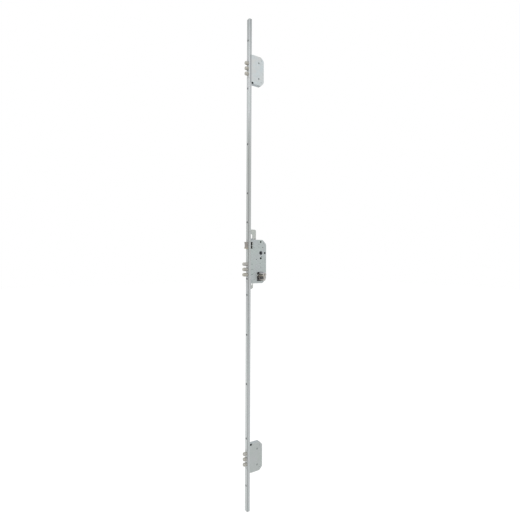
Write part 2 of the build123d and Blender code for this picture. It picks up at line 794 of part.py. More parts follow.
def rod_guide(z):
    """Saddle in the channel that the rod slides through."""
    half = FACE_W / 2 - FACE_WALL
    shape = block(X_WEB, X_SEAT, -half, half, z - 6, z + 6)
    corners = shape.edges().filter_by(Axis.Z).group_by(Axis.X)[0]
    shape = chamfer(corners, FACE_CORNER - FACE_WALL + 0.1)
    low = Y_LINK_1 - GAP
    high = Y_LINK_1 + ROD_T + GAP
    shape -= block(ROD_X0 - GAP, X_SEAT + 1, low, high, z - 7, z + 7)
    shape -= block(X_WEB + 2, X_SEAT + 1, high + 1.6, half - 2, z - 7, z + 7)
    return shape


# auxiliary box in its own heights: the rod comes from below

def box_case():
    holes = [disc(BOX_RIVET_X, s * BOX_RIVET_Z, TENON_R) for s in (-1, 1)]
    holes += [disc(x, z, TENON_R) for x, z in BOX_POSTS]
    holes += [Pos(X_SEAT + NOTCH_X / 2, -BOX_HALF + NOTCH_Z / 2) * Rectangle(NOTCH_X, NOTCH_Z)]
    dip = [(X_SEAT - 1, BOX_HALF - BOX_DIP), (BOX_DIP_X, BOX_HALF), (X_SEAT - 1, BOX_HALF + 1)]
    shape = tray(BOX_SIZE, holes + [outline(dip)])
    shape += lug(BOX_HALF, 30.0, -7.0, 7.0, 1)
    shape += lug(-BOX_HALF, -30.0, Y_LINK_1 + ROD_T + SIDE_GAP, 7.0, -1)
    for s in (-1, 1):
        shape -= rod_x(X_WEB - 1, X_WEB + PLATE + 1, 0, s * BOX_SCREW_Z, SCREW_SHANK_R)
    return shape


def box_cover():
    shape = outline(case_corners(*BOX_SIZE, 0))
    for x, z in BOX_POSTS + [(BOX_RIVET_X, s * BOX_RIVET_Z) for s in (-1, 1)]:
        shape -= disc(x, z, TENON_R)
    return slab(shape, Y_IN, Y_OUT)


def box_plate():
    """Strip that carries the three bolts of a box, with holes for two pins."""
    half = BOLT_PITCH + TONGUE_H / 2
    shape = outline([
        (BOLT_REAR + 0.3, -half),
        (STRIP_FRONT, -half),
        (STRIP_REAR, -half - 0.5),
        (STRIP_REAR, half + 0.5),
        (STRIP_FRONT, half),
        (BOLT_REAR + 0.3, half),
    ])
    for z in DRIVE_PINS:
        shape -= disc(DRIVE_PIN_X, z, STUD_R)
    for k in (-1, 0, 1):
        shape -= disc(RIVET_X, k * BOLT_PITCH, RIVET_R)
    x0, x1, high = BOX_WINDOW
    for z in (-BOLT_PITCH / 2, BOLT_PITCH / 2):
        shape -= window(x0, x1, z - high, z + high, 2.0)
    return slab(shape, Y_STRIP_0, Y_STRIP_1)


def drive_plate():
    """Plate on the rod with two slanted slots that move the bolt strip."""
    top = DRIVE_PINS[1] + LINK_TRAVEL + SLOT_R + 3.0
    shape = outline([
        (ROD_X0, ARM_BOTTOM),
        (DRIVE_X1, ARM_BOTTOM),
        (DRIVE_X1, top - 6.0),
        (DRIVE_X1 - 6.0, top),
        (DRIVE_X0, top),
        (DRIVE_X0, ARM_TOP),
        (ROD_X0, ARM_TOP),
    ])
    for z in DRIVE_PINS:
        x = DRIVE_PIN_X
        shape -= oblong(x, z, x + BOX_TRAVEL, z + LINK_TRAVEL, STUD_R + PIN_PLAY)
    for z in DRIVE_RIVETS:
        shape -= disc(ROD_X0 + ROD_W / 2, z, ROD_RIVET_R)
    low = -BOX_RIVET_Z
    shape -= oblong(BOX_RIVET_X, low, BOX_RIVET_X, low + LINK_TRAVEL, POST_R + GAP)
    return slab(shape, Y_LINK_0, Y_LINK_1)


def place_box(shape, centre, side):
    """Put a piece of a box at its height; the lower box is a mirror image."""
    if side < 0:
        shape = mirror(shape, about=Plane.XY)
    return Pos(0, 0, centre) * shape


save("forend_channel", forend())
save("main_case", main_case())
save("main_cover", main_cover())
save("main_case_posts", *[post(x, z) for x, z in CASE_POSTS])
save("latch_guide_posts", *[post(x, z, STUD_R) for x, z in TAIL_POSTS])
save("guide_studs", *[
    stud(*STUDS[0], Y_STRIP_1 + 0.4),
    stud(*STUDS[1], Y_LINK_1 + 0.1),
    stud(*STUDS[2], Y_LINK_1 + 0.1),
])
save("gear_axle", post(0, WHEEL_Z, AXLE_R))
save("latch_guide", latch_guide())
save("case_screws", *[face_screw(z, SCREW_SHANK_R, SCREW_END, 0.8) for z in case_screw_heights()])
save("cylinder_screw", face_screw(CYL_SCREW_Z, CYL_SCREW_R, CYL_SCREW_END, 1.0))
save("cylinder_body", cylinder_body())
save("cylinder_near_plug", plug(-1))
save("cylinder_far_plug", plug(1))
save("cylinder_gear", key_gear())
save("drive_wheel", drive_wheel())
save("rod_guides", *[rod_guide(z) for z in GUIDE_HEIGHTS])

save("bolt_carriage", carriage())
main_heights = [MAIN_Z + k * BOLT_PITCH for k in (1, 0, -1)]
for name, z in zip(("top", "middle", "bottom"), main_heights):
    save("main_bolt_" + name, bolt(MAIN_TIP, z))
save("main_bolt_rivets", *[tongue_rivet(z) for z in main_heights])

save("latch_head", latch_head())
save("latch_tail", latch_tail())
save("latch_pin", rod_y(LATCH_REAR - 3, (TAIL_Z0 + TAIL_Z1) / 2, 1.5, -LATCH_HALF, LATCH_HALF))
spring_length = GUIDE_X - LATCH_REAR
spring = coil(LATCH_SPRING_R, LATCH_WIRE, SPRING_TURNS, spring_length)
save("latch_spring", Pos(LATCH_REAR, 0, (TAIL_Z0 + TAIL_Z1) / 2) * Rot(0, 90, 0) * spring)
save("follower", follower())
lever_spring = coil(SPRING_R, SPRING_WIRE, SPRING_TURNS, SHELF_Z - SPRING_Z)
save("follower_spring", Pos(SPRING_X, 0, SPRING_Z) * lever_spring)

save("upper_link_plate", upper_link())
save("upper_link_pin", link_pin(UP_PIN_X, UP_PIN_Z))
save("lower_link_plate", lower_link())
save("lower_link_pin", link_pin(LOW_PIN_X, LOW_PIN_Z))

up_rivets = UP_ROD_RIVETS + [UP_BOX_Z + z for z in DRIVE_RIVETS]
low_rivets = LOW_ROD_RIVETS + [LOW_BOX_Z - z for z in DRIVE_RIVETS]
save("upper_rod", rod_between(BAR_Z0 + 1.0, UP_BOX_Z + ARM_TOP - 0.5, up_rivets))
save("lower_rod", rod_between(LOW_BOX_Z - ARM_TOP + 0.5, LOW_Z0 + 12.0, low_rivets))
save("upper_rod_rivets", *rod_rivets(up_rivets))
save("lower_rod_rivets", *rod_rivets(low_rivets))

for label, centre, side in (("upper", UP_BOX_Z, 1), ("lower", LOW_BOX_Z, -1)):
    save(label + "_box_case", place_box(box_case(), centre, side))
    save(label + "_box_cover", place_box(box_cover(), centre, side))
    covers = [place_box(post(x, z), centre, side) for x, z in BOX_POSTS]
    save(label + "_box_posts", *covers)
    heads = []
    for s in (-1, 1):
        column = post(BOX_RIVET_X, s * BOX_RIVET_Z)
        cap = turned_y(
            [(-Y_OUT - 0.9, 0), (-Y_OUT - 0.9, 2.6), (-Y_OUT, 3.6), (-Y_OUT, 0)],
            BOX_RIVET_X, s * BOX_RIVET_Z,
        )
        heads.append(place_box(column + cap, centre, side))
    save(label + "_box_rivets", *heads)
    save(label + "_bolt_strip", place_box(box_plate(), centre, side))
    bolts = [place_box(bolt(BOX_TIP, k * BOLT_PITCH), centre, side) for k in (1, 0, -1)]
    save(label + "_box_bolts", *bolts)
    rivets = [place_box(tongue_rivet(k * BOLT_PITCH), centre, side) for k in (1, 0, -1)]
    save(label + "_bolt_rivets", *rivets)
    pins = [rod_y(DRIVE_PIN_X, z, STUD_R, Y_LINK_0, Y_STRIP_1) for z in DRIVE_PINS]
    save(label + "_drive_pins", *[place_box(p, centre, side) for p in pins])
    save(label + "_drive_plate", place_box(drive_plate(), centre, side))
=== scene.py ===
"""Looks of the multipoint door lock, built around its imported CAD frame."""

import json
import logging
import math
from collections.abc import Iterable
from dataclasses import dataclass, field
from enum import Enum

import bmesh
import bpy
from bpy.types import ID, Material, Mesh, Node, NodeTree, Object
from mathutils import Matrix, Vector


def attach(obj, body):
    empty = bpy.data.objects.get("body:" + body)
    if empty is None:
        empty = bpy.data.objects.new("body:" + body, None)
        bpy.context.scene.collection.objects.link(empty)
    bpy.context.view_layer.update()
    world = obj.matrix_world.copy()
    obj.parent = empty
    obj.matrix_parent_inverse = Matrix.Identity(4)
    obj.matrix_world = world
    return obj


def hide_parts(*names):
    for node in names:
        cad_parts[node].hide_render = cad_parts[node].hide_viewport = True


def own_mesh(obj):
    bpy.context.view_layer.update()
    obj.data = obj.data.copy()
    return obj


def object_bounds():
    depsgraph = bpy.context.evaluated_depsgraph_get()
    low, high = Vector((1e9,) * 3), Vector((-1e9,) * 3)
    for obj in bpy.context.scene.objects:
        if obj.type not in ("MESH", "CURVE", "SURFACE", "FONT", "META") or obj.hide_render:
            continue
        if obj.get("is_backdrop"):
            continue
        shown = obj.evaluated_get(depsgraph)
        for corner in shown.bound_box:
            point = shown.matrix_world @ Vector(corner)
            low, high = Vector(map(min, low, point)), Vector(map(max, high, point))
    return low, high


LOG = logging.getLogger("lock")
MM = 0.001
INF = math.inf
Colour = tuple[float, float, float]
Point = tuple[float, float, float]
Pair = tuple[float, float]
Pairs = tuple[Pair, ...]

# Sizes of the CAD model that the looks line up with, in millimetres.
X_FACE = -60.0
X_WEB = -58.5
Y_PLATE = 8.5
Y_INSIDE = 7.3
CASE_TOP, CASE_BOTTOM, CASE_REAR, CASE_CHAMFER = 52.5, -120.5, 26.0, 17.0
BOX_HEIGHTS = (723.4, -809.7)
BOX_HALF, BOX_REAR, BOX_CHAMFER = 57.0, 10.5, 13.0
MAIN_BOLT_Z, BOLT_PITCH, BOLT_RIVET_X = -65.2, 20.7, -47.0
# Round holes of the main case's near plate: X, Z and radius.
CASE_HOLES = ((19.2, 0.0, 4.08), (0.0, -21.4, 4.08), (-0.5, 44.0, 3.9), (9.4, 22.2, 1.68),
              (-19.4, -25.7, 1.68), (4.7, -14.0, 1.68))

# Points closer than MERGE millimetres become one. The angles are in degrees.
MERGE = 0.001
FLAT_ANGLE = 0.5
SMOOTH_ANGLE = 32.0
BEND_ANGLE = 50.0
FLAT_WEIGHT = 75

# Where a colour mixing node has its result and its two sides, and a random one its largest value.
MIX_OUT = 2
MIX_SIDES = (6, 7)
RANDOM_MAX = 3


class Joining(Enum):
    """How two shapes are combined."""

    JOIN = "UNION"
    CUT = "DIFFERENCE"


class Axis(Enum):
    """The axis that a turned shape lies along, as the order of its coordinates."""

    X = (0, 1, 2)
    Y = (1, 0, 2)
    Z = (2, 0, 1)

    def point(self, along: float, a: float, b: float) -> Vector:
        """The point at a place along the axis and two places across it."""
        point = Vector((0.0, 0.0, 0.0))
        for index, value in zip(self.value, (along, a, b)):
            point[index] = value
        return point


def three(middle: float) -> list[float]:
    """Heights of three bolts around the middle one, from the top down."""
    return [middle + k * BOLT_PITCH for k in (1, 0, -1)]


def add_object(name: str, data: ID) -> Object:
    """Make an object of its data and link it to the scene."""
    obj = bpy.data.objects.new(name, data)
    bpy.context.scene.collection.objects.link(obj)
    return obj


def baked(obj: Object) -> Mesh:
    """The plain mesh of an object with its modifiers."""
    graph = bpy.context.evaluated_depsgraph_get()
    return bpy.data.meshes.new_from_object(obj.evaluated_get(graph))


def limit(direction: Point, place: float, sharpness: float = 1.0) -> tuple[Point, float]:
    """A region's flat limit, its outward normal and place; sharpness narrows the change there."""
    return tuple(d * sharpness for d in direction), place * sharpness


def linear(colour: Colour) -> tuple[float, float, float, float]:
    """Turn a display colour of 0 to 1 into the linear colour that nodes take."""
    knee, slope, offset, power = 0.04045, 12.92, 0.055, 2.4
    out = [c / slope if c <= knee else ((c + offset) / (1 + offset)) ** power for c in colour]
    return (*out, 1.0)


class Grain(Enum):
    """How fine streaks lie on a metal surface: the noise's stretch along X, Y and Z."""

    NONE = (1.0, 1.0, 1.0)
    ALONG_Y = (1.0, 0.04, 1.0)
    ALONG_Z = (1.0, 1.0, 0.02)
    RINGS_X = (1.0, 0.05, 0.05)
    RINGS_Y = (0.05, 1.0, 0.05)


@dataclass(frozen=True)
class Region:
    """A part of space between flat limits, in millimetres, where a finish takes another colour."""

    limits: tuple[tuple[Point, float], ...]
    amount: float
    soft: float
    colour: Colour

    @classmethod
    def block(cls, low: Point, high: Point, amount: float, soft: float, colour: Colour) -> "Region":
        """Make a region from two corners; an infinite value leaves that side open.

        Args:
            low: lowest corner.
            high: highest corner.
            amount: how far the colour goes, 0 to 1.
            soft: width of the change inside each limit.
            colour: display colour that it goes to.

        Returns:
            The region.
        """
        limits: list[tuple[Point, float]] = []
        for axis in range(3):
            unit = tuple(1.0 if i == axis else 0.0 for i in range(3))
            if math.isfinite(high[axis]):
                limits.append((unit, high[axis]))
            if math.isfinite(low[axis]):
                limits.append((tuple(-u for u in unit), -low[axis]))
        return cls(tuple(limits), amount, soft, colour)

    @classmethod
    def case_inside_shade(cls, middle: float, half: float, rear: float, chamfer: float) -> "Region":
        """The painted shade inside a case, up to just under the skin of its plates."""
        # Dark grey painted shade that stands in for the shade inside the case.
        amount, soft, colour = 0.95, 0.9, (0.24, 0.25, 0.25)
        inset, depth = 0.1, 0.04
        skin = Y_PLATE - depth
        slope = rear - chamfer + half - inset * math.sqrt(2)
        flat = cls.block((-INF, -skin, middle - half + inset),
                         (rear - inset, skin, middle + half - inset), amount, soft, colour)
        slants = tuple(((1.0, 0.0, s), slope + s * middle) for s in (1.0, -1.0))
        return cls(flat.limits + slants, amount, soft, colour)


class NodeSheet:
    """A node tree with short calls to add and join nodes."""

    def __init__(self, tree: NodeTree) -> None:
        """Take an empty tree, or empty it."""
        self.tree = tree
        self.tree.nodes.clear()

    def feed(self, node: Node, into: str | int, value: object) -> None:
        """Set an input, or join it to a node's main output or to an output given with its node."""
        if isinstance(value, Node):
            value = (value, MIX_OUT if value.bl_idname == "ShaderNodeMix" else 0)
        if isinstance(value, tuple) and isinstance(value[0], Node):
            self.tree.links.new(value[0].outputs[value[1]], node.inputs[into])
        else:
            node.inputs[into].default_value = value

    def add(self, kind: str, *inputs: object, **values: object) -> Node:
        """Add a node, set its properties and feed its inputs.

        Args:
            kind: the node's type name.
            inputs: what its first inputs get, in order.
            values: properties, or inputs by name with spaces written as underscores.

        Returns:
            The new node.
        """
        node = self.tree.nodes.new(kind)
        for key, value in values.items():
            if hasattr(node, key):
                setattr(node, key, value)
            else:
                self.feed(node, key.replace("_", " "), value)
        for into, value in enumerate(inputs):
            self.feed(node, into, value)
        return node


class Graph(NodeSheet):
    """A material's node tree, with the noises, ramps and masks that the finishes use."""

    noise_roughness = 0.6

    def __init__(self, name: str) -> None:
        """Start a tree with its output and shader."""
        self.material = bpy.data.materials.new(name)
        self.material.use_nodes = True
        super().__init__(self.material.node_tree)
        self.shader = self.add("ShaderNodeBsdfPrincipled")
        self.output = self.add("ShaderNodeOutputMaterial", Surface=self.shader)
        self.coords = self.add("ShaderNodeTexCoord")

    def noise(self, scale: float, stretch: Point, detail: float) -> Node:
        """Noise over the object's own coordinates, stretched by a scale for each axis."""
        mapping = self.add("ShaderNodeMapping", (self.coords, "Object"), Scale=stretch)
        return self.add("ShaderNodeTexNoise", Scale=scale, Detail=detail,
                        Roughness=self.noise_roughness, Vector=mapping)

    def ramp(self, source: object, low: float, high: float, a: float, b: float) -> Node:
        """Map a value's range to another range."""
        return self.add("ShaderNodeMapRange", source, low, high, a, b)

    def product(self, a: object, b: object) -> Node:
        """Multiply two values, each a node or a number."""
        return self.add("ShaderNodeMath", a, b, operation="MULTIPLY")

    def mix(self, factor: object, a: object, b: object, blend: str = "MIX") -> Node:
        """Mix two colours, each a plain colour or a node, by a factor."""
        node = self.add("ShaderNodeMix", factor, data_type="RGBA", blend_type=blend)
        for into, side in zip(MIX_SIDES, (a, b)):
            self.feed(node, into, side)
        return node

    def inside(self, region: Region) -> Node:
        """Value that is 1 inside a region and falls to 0 at its limits."""
        total = None
        for normal, place in region.limits:
            dot = self.add("ShaderNodeVectorMath", (self.coords, "Object"), normal,
                           operation="DOT_PRODUCT")
            near = self.ramp((dot, "Value"), (place - region.soft) * MM, place * MM, 1.0, 0.0)
            total = near if total is None else self.product(total, near)
        return total


@dataclass(frozen=True)
class MetalFinish:
    """A plated or drawn metal: two cloud colours, speckle, grain and gloss."""

    colour: Colour
    cloud: Colour
    roughness: float = 0.48
    metallic: float = 0.55
    cloud_scale: float = 28.0
    speckle_scale: float = 420.0
    speckle: float = 0.025
    grain: Grain = Grain.NONE
    grain_scale: float = 900.0
    grain_depth: float = 0.05
    grain_height: float = 0.0002
    cloud_range: Pair = (0.38, 0.62)
    cloud_detail: float = 4.0
    speckle_reach: float = 0.8
    streak_range: Pair = (0.3, 0.7)
    streak_detail: float = 2.0
    gloss_swing: float = 0.06

    def build(self, name: str, regions: Iterable[Region] = ()) -> Material:
        """Make the material's nodes.

        Args:
            name: the material's name.
            regions: parts of space where the colour changes.

        Returns:
            The material.
        """
        g = Graph(name)
        cloud = g.noise(self.cloud_scale, Grain.NONE.value, self.cloud_detail)
        cloud = g.ramp(cloud, *self.cloud_range, 0.0, 1.0)
        tint = g.mix(cloud, linear(self.colour), linear(self.cloud))
        cells = g.add("ShaderNodeTexVoronoi", (g.coords, "Object"), feature="F1",
                      Scale=self.speckle_scale)
        spot = g.ramp((cells, "Distance"), 0.0, self.speckle_reach, 1.0 + self.speckle,
                      1.0 - self.speckle)
        tint = g.mix(1.0, tint, g.add("ShaderNodeCombineColor", spot, spot, spot), "MULTIPLY")
        for region in regions:
            factor = g.product(g.inside(region), region.amount)
            tint = g.mix(factor, tint, linear(region.colour))
        streak = g.noise(self.grain_scale, self.grain.value, self.streak_detail)
        smooth, rough = self.roughness - self.gloss_swing, self.roughness + self.gloss_swing
        gloss = g.ramp(streak, *self.streak_range, smooth, rough)
        bump = g.add("ShaderNodeBump", Strength=self.grain_depth, Distance=self.grain_height,
                     Height=streak)
        for into, value in (("Base Color", tint), ("Roughness", gloss), ("Normal", bump),
                            ("Metallic", self.metallic)):
            g.feed(g.shader, into, value)
        return g.material


ZINC = MetalFinish((0.692, 0.726, 0.717), (0.697, 0.719, 0.722))
# LIT_UPPER_ZINC is a lighter copy of ZINC: painted light for the better-lit upper box.
LIT_UPPER_ZINC = MetalFinish((0.765, 0.80, 0.81), (0.79, 0.80, 0.797))
LOWER_ZINC = MetalFinish((0.69, 0.715, 0.705), (0.70, 0.715, 0.715))
FACE = MetalFinish((0.722, 0.744, 0.744), (0.732, 0.742, 0.748), roughness=0.45, speckle=0.015,
                   grain=Grain.ALONG_Z)
LINK = MetalFinish((0.70, 0.725, 0.705), (0.72, 0.73, 0.715), grain=Grain.ALONG_Z)
BOLT = MetalFinish((0.665, 0.652, 0.612), (0.66, 0.657, 0.64), roughness=0.42, metallic=0.5,
                   grain=Grain.RINGS_X)
LATCH = MetalFinish((0.60, 0.58, 0.55), (0.58, 0.565, 0.55), roughness=0.38, grain=Grain.ALONG_Z)
NICKEL = MetalFinish((0.70, 0.688, 0.655), (0.695, 0.688, 0.675), roughness=0.36, metallic=0.45,
                     grain=Grain.ALONG_Y)
PIN = MetalFinish((0.54, 0.56, 0.56), (0.51, 0.53, 0.53), roughness=0.4, grain=Grain.RINGS_Y)
CAST = MetalFinish((0.42, 0.44, 0.45), (0.38, 0.395, 0.41), roughness=0.5)
GEAR = MetalFinish((0.36, 0.36, 0.36), (0.33, 0.33, 0.335), roughness=0.5, metallic=0.7)
SCREW = MetalFinish((0.70, 0.71, 0.705), (0.68, 0.69, 0.69), roughness=0.4, grain=Grain.RINGS_X)
# SHADOW_DARK_SCREW is near black as painted shadow, standing in for the shade of a deep screw hole.
SHADOW_DARK_SCREW = MetalFinish((0.13, 0.13, 0.135), (0.1, 0.1, 0.105), roughness=0.45, metallic=0.4)
MOULDING = MetalFinish((0.08, 0.08, 0.085), (0.1, 0.1, 0.1), roughness=0.5, metallic=0.0)

# The finish of each material slot, with its material's name.
BY_SLOT = {
    "face_steel": ("face_zinc", FACE), "case_steel": ("case_zinc", ZINC),
    "zinc_steel": ("link_zinc", LINK), "pin_steel": ("pin_steel", PIN),
    "bolt_nickel": ("bolt_nickel", BOLT), "cylinder_nickel": ("cylinder_nickel", NICKEL),
    "gear_steel": ("gear_steel", GEAR), "latch_steel": ("latch_nickel", LATCH),
    "follower_zinc": ("follower_cast", CAST), "screw_steel": ("screw_steel", SCREW),
    "spring_steel": ("spring_steel", GEAR), "guide_plastic": ("rod_guide_moulding", MOULDING),
}

# Near black for painted shadow in holes, recesses and slots.
SHADOW_BLACK = (0.05, 0.055, 0.06)
UP, DOWN = (0.0, 0.0, 1.0), (0.0, 0.0, -1.0)

# The face plate: painted shade in its middle and at its head, painted light low on its front, a painted
# shadow on the flange beside the upper box, painted shade on its inside, painted shadow on its hole
# walls and a painted dark reflection along its bends.
FACE_MIDDLE_SHADE = Region.block((-INF, -INF, -170.0), (INF, INF, 560.0), 0.45, 220.0, (0.645, 0.657, 0.64))
FACE_HEAD_SHADE = Region((limit(DOWN, -725.0, 0.004),), 0.85, 1.0, (0.56, 0.575, 0.58))
FACE_LOW_LIGHT = Region((limit((1.0, 0.0, 0.0), X_FACE + 0.08), limit(UP, -175.0, 0.0005)), 0.42, 0.05,
                  (0.81, 0.83, 0.825))
BOX_EDGE_SHADOW = Region.block((-54.8, -10.0, 668.0), (-49.4, -8.0, 779.0), 0.6, 0.8, (0.52, 0.54, 0.55))
CHANNEL_INSIDE_SHADE = Region.block((X_WEB - 0.1, -7.6, -INF), (INF, 7.6, INF), 0.85, 0.05, (0.33, 0.34, 0.34))
FACE_HOLE_SHADOW = Region.block((X_FACE + 0.03, -6.0, -INF), (X_WEB + 0.1, 6.0, INF), 0.8, 0.2, SHADOW_BLACK)
BEND_REFLECTION_SHADE = (0.42, 0.43, 0.42)
NEAR_BEND = Region((limit((1.0, 1.0, 0.0), X_FACE - 6.15), limit(UP, 575.0, 0.004)), 0.5, 0.6, BEND_REFLECTION_SHADE)
FAR_BEND = Region((limit((1.0, -1.0, 0.0), X_FACE - 6.15),), 0.5, 0.6, BEND_REFLECTION_SHADE)
MIDDLE_BEND = Region((limit((1.0, 1.0, 0.0), X_FACE - 6.1), limit(UP, 550.0, 0.004),
                      limit(DOWN, 500.0, 0.004)), 0.6, 0.6, BEND_REFLECTION_SHADE)

# The cylinder: a bluish painted reflection on top, then along its side a painted dark reflection line, a
# painted tan reflection line and painted shade on its blade, and a painted shadow in its keyway.
CYLINDER_TOP_REFLECTION = Region.block((-9.0, -INF, -81.0), (9.0, INF, -76.0), 0.75, 1.5, (0.74, 0.74, 0.79))
SIDE = limit((1.0, 0.0, 0.0), -0.5)
ENDS = (limit((0.0, -1.0, 0.0), 35.15, 4.0), limit((0.0, 1.0, 0.0), -6.0, 0.3))
DARK_REFLECTION_LINE = Region((SIDE, *ENDS, limit(UP, -82.6), limit(DOWN, 88.8)), 0.95, 1.6, (0.31, 0.31, 0.31))
TAN_REFLECTION_LINE = Region((SIDE, ENDS[0], limit(UP, -87.4), limit(DOWN, 92.6)), 0.8, 1.0, (0.76, 0.73, 0.65))
BLADE_SHADE = Region((SIDE, *ENDS, limit(UP, -91.8), limit(DOWN, 104.6)), 0.9, 1.8, (0.34, 0.34, 0.35))
KEYWAY_SHADOW = Region.block((-1.4, -34.9, -90.4), (1.2, -12.0, -81.5), 1.0, 0.05, SHADOW_BLACK)

# Painted shadow in the follower's square, a painted highlight on the latch's lower step, a painted
# shadow line in the crease over the case and painted light that brightens the case's shaded inside at
# its window.
SPINDLE_SQUARE_SHADOW = Region.block((-4.1, -8.3, -4.1), (4.1, 8.3, 4.1), 1.0, 0.05, SHADOW_BLACK)
LATCH_STEP_HIGHLIGHT = Region.block((-80.0, -9.0, 15.0), (-50.0, 9.0, 19.4), 0.7, 0.6, (0.70, 0.66, 0.57))
CREASE_SHADOW = Region.block((-48.4, -9.0, 51.9), (-36.8, -7.0, 55.8), 0.75, 0.6, (0.44, 0.46, 0.49))
WINDOW_LIGHT = Region.block((-34.0, -8.3, -108.0), (14.0, 8.3, -70.0), 0.95, 0.6, (0.68, 0.69, 0.68))

# Single nodes with their own finish: its material's name, the metal and its regions in order.
OWN_FINISH = {
    "follower": ("follower_cast_square", CAST, (SPINDLE_SQUARE_SHADOW,)),
    "cylinder_near_plug": ("plug_nickel", NICKEL, (KEYWAY_SHADOW,)),
    "cylinder_body": ("cylinder_nickel_banded", NICKEL, (CYLINDER_TOP_REFLECTION, DARK_REFLECTION_LINE, TAN_REFLECTION_LINE, BLADE_SHADE)),
    "cylinder_screw": ("cylinder_screw_black", SHADOW_DARK_SCREW, ()),
    "latch_head": ("latch_nickel_banded", LATCH, (LATCH_STEP_HIGHLIGHT,)),
    "forend_channel": ("forend_zinc", FACE, (
        FACE_MIDDLE_SHADE, FACE_HEAD_SHADE, FACE_LOW_LIGHT, BOX_EDGE_SHADOW, CHANNEL_INSIDE_SHADE, FACE_HOLE_SHADOW, NEAR_BEND, FAR_BEND,
        MIDDLE_BEND)),
}


@dataclass(frozen=True)
class BoxLook:
    """What differs between the two boxes: their metal, and the end whose rim gets painted shade."""

    label: str
    middle: float
    end: float
    rim_shade: float
    metal: MetalFinish
    rim_width: float = 1.4
    rim_x: Pair = (-50.0, 12.0)
    rim_y: Pair = (-8.45, 8.6)
    rim_soft: float = 0.3
    rim_shade_colour: Colour = (0.52, 0.55, 0.57)

    def build(self) -> Material:
        """Make the box's finish."""
        # Painted shade inside the box, and painted shade along the rim of the end that faces the case.
        inside = Region.case_inside_shade(self.middle, BOX_HALF, BOX_REAR, BOX_CHAMFER)
        low = (self.rim_x[0], self.rim_y[0], self.end - self.rim_width)
        high = (self.rim_x[1], self.rim_y[1], self.end + self.rim_width)
        rim = Region.block(low, high, self.rim_shade, self.rim_soft, self.rim_shade_colour)
        return self.metal.build(self.label + "_box_zinc", (inside, rim))


BOX_LOOKS = (
    BoxLook("upper", BOX_HEIGHTS[0], BOX_HEIGHTS[0] - BOX_HALF, 0.42, LIT_UPPER_ZINC),
    BoxLook("lower", BOX_HEIGHTS[1], BOX_HEIGHTS[1] + BOX_HALF, 0.7, LOWER_ZINC),
)


@dataclass(frozen=True)
class PhotoCamera:
    """The camera of the photograph, fitted to standard sizes of the lock."""

    turn: float = 34.5
    focal_px: float = 400.0
    roll: float = 0.26
    mm_per_px: float = 4.0
    anchor: Point = (0.0, -7.5, 0.0)
    anchor_px: Pair = (260.68, 253.0)
    frame_px: float = 520.0
    sensor: float = 36.0
    clip_start: float = 0.05

    def build(self) -> Object:
        """Place the camera so that the anchor lands on its pixel."""
        turn, roll = math.radians(self.turn), math.radians(self.roll)
        right = Vector((math.cos(turn), -math.sin(turn), 0.0))
        look = Vector((math.sin(turn), math.cos(turn), 0.0))
        up = Vector(UP)
        dx = self.anchor_px[0] - self.frame_px / 2
        dy = self.anchor_px[1] - self.frame_px / 2
        across = dx * math.cos(roll) + dy * math.sin(roll)
        down = -dx * math.sin(roll) + dy * math.cos(roll)
        per_px = self.mm_per_px * MM
        place = Vector(self.anchor) * MM - look * self.focal_px * per_px
        place += (up * down - right * across) * per_px
        data = bpy.data.cameras.new("photo_camera")
        data.sensor_fit = "HORIZONTAL"
        data.sensor_width = self.sensor
        data.lens = self.focal_px / self.frame_px * self.sensor
        data.clip_start = self.clip_start
        camera = add_object("photo_camera", data)
        basis = Matrix((right, up, -look)).transposed().to_4x4()
        camera.matrix_world = Matrix.Translation(place) @ basis @ Matrix.Rotation(roll, 4, "Z")
        bpy.context.scene.camera = camera
        return camera


@dataclass(frozen=True)
class Lamp:
    """A soft round lamp aimed at the middle of the lock."""

    name: str
    place: Point
    power: float
    size: float

    def build(self) -> None:
        """Make the lamp and turn it to the lock."""
        data = bpy.data.lights.new(self.name, "AREA")
        data.energy = self.power
        data.shape = "DISK"
        data.size = self.size
        lamp = add_object(self.name, data)
        lamp.location = self.place
        lamp.rotation_euler = (-Vector(self.place)).to_track_quat("-Z", "Y").to_euler()


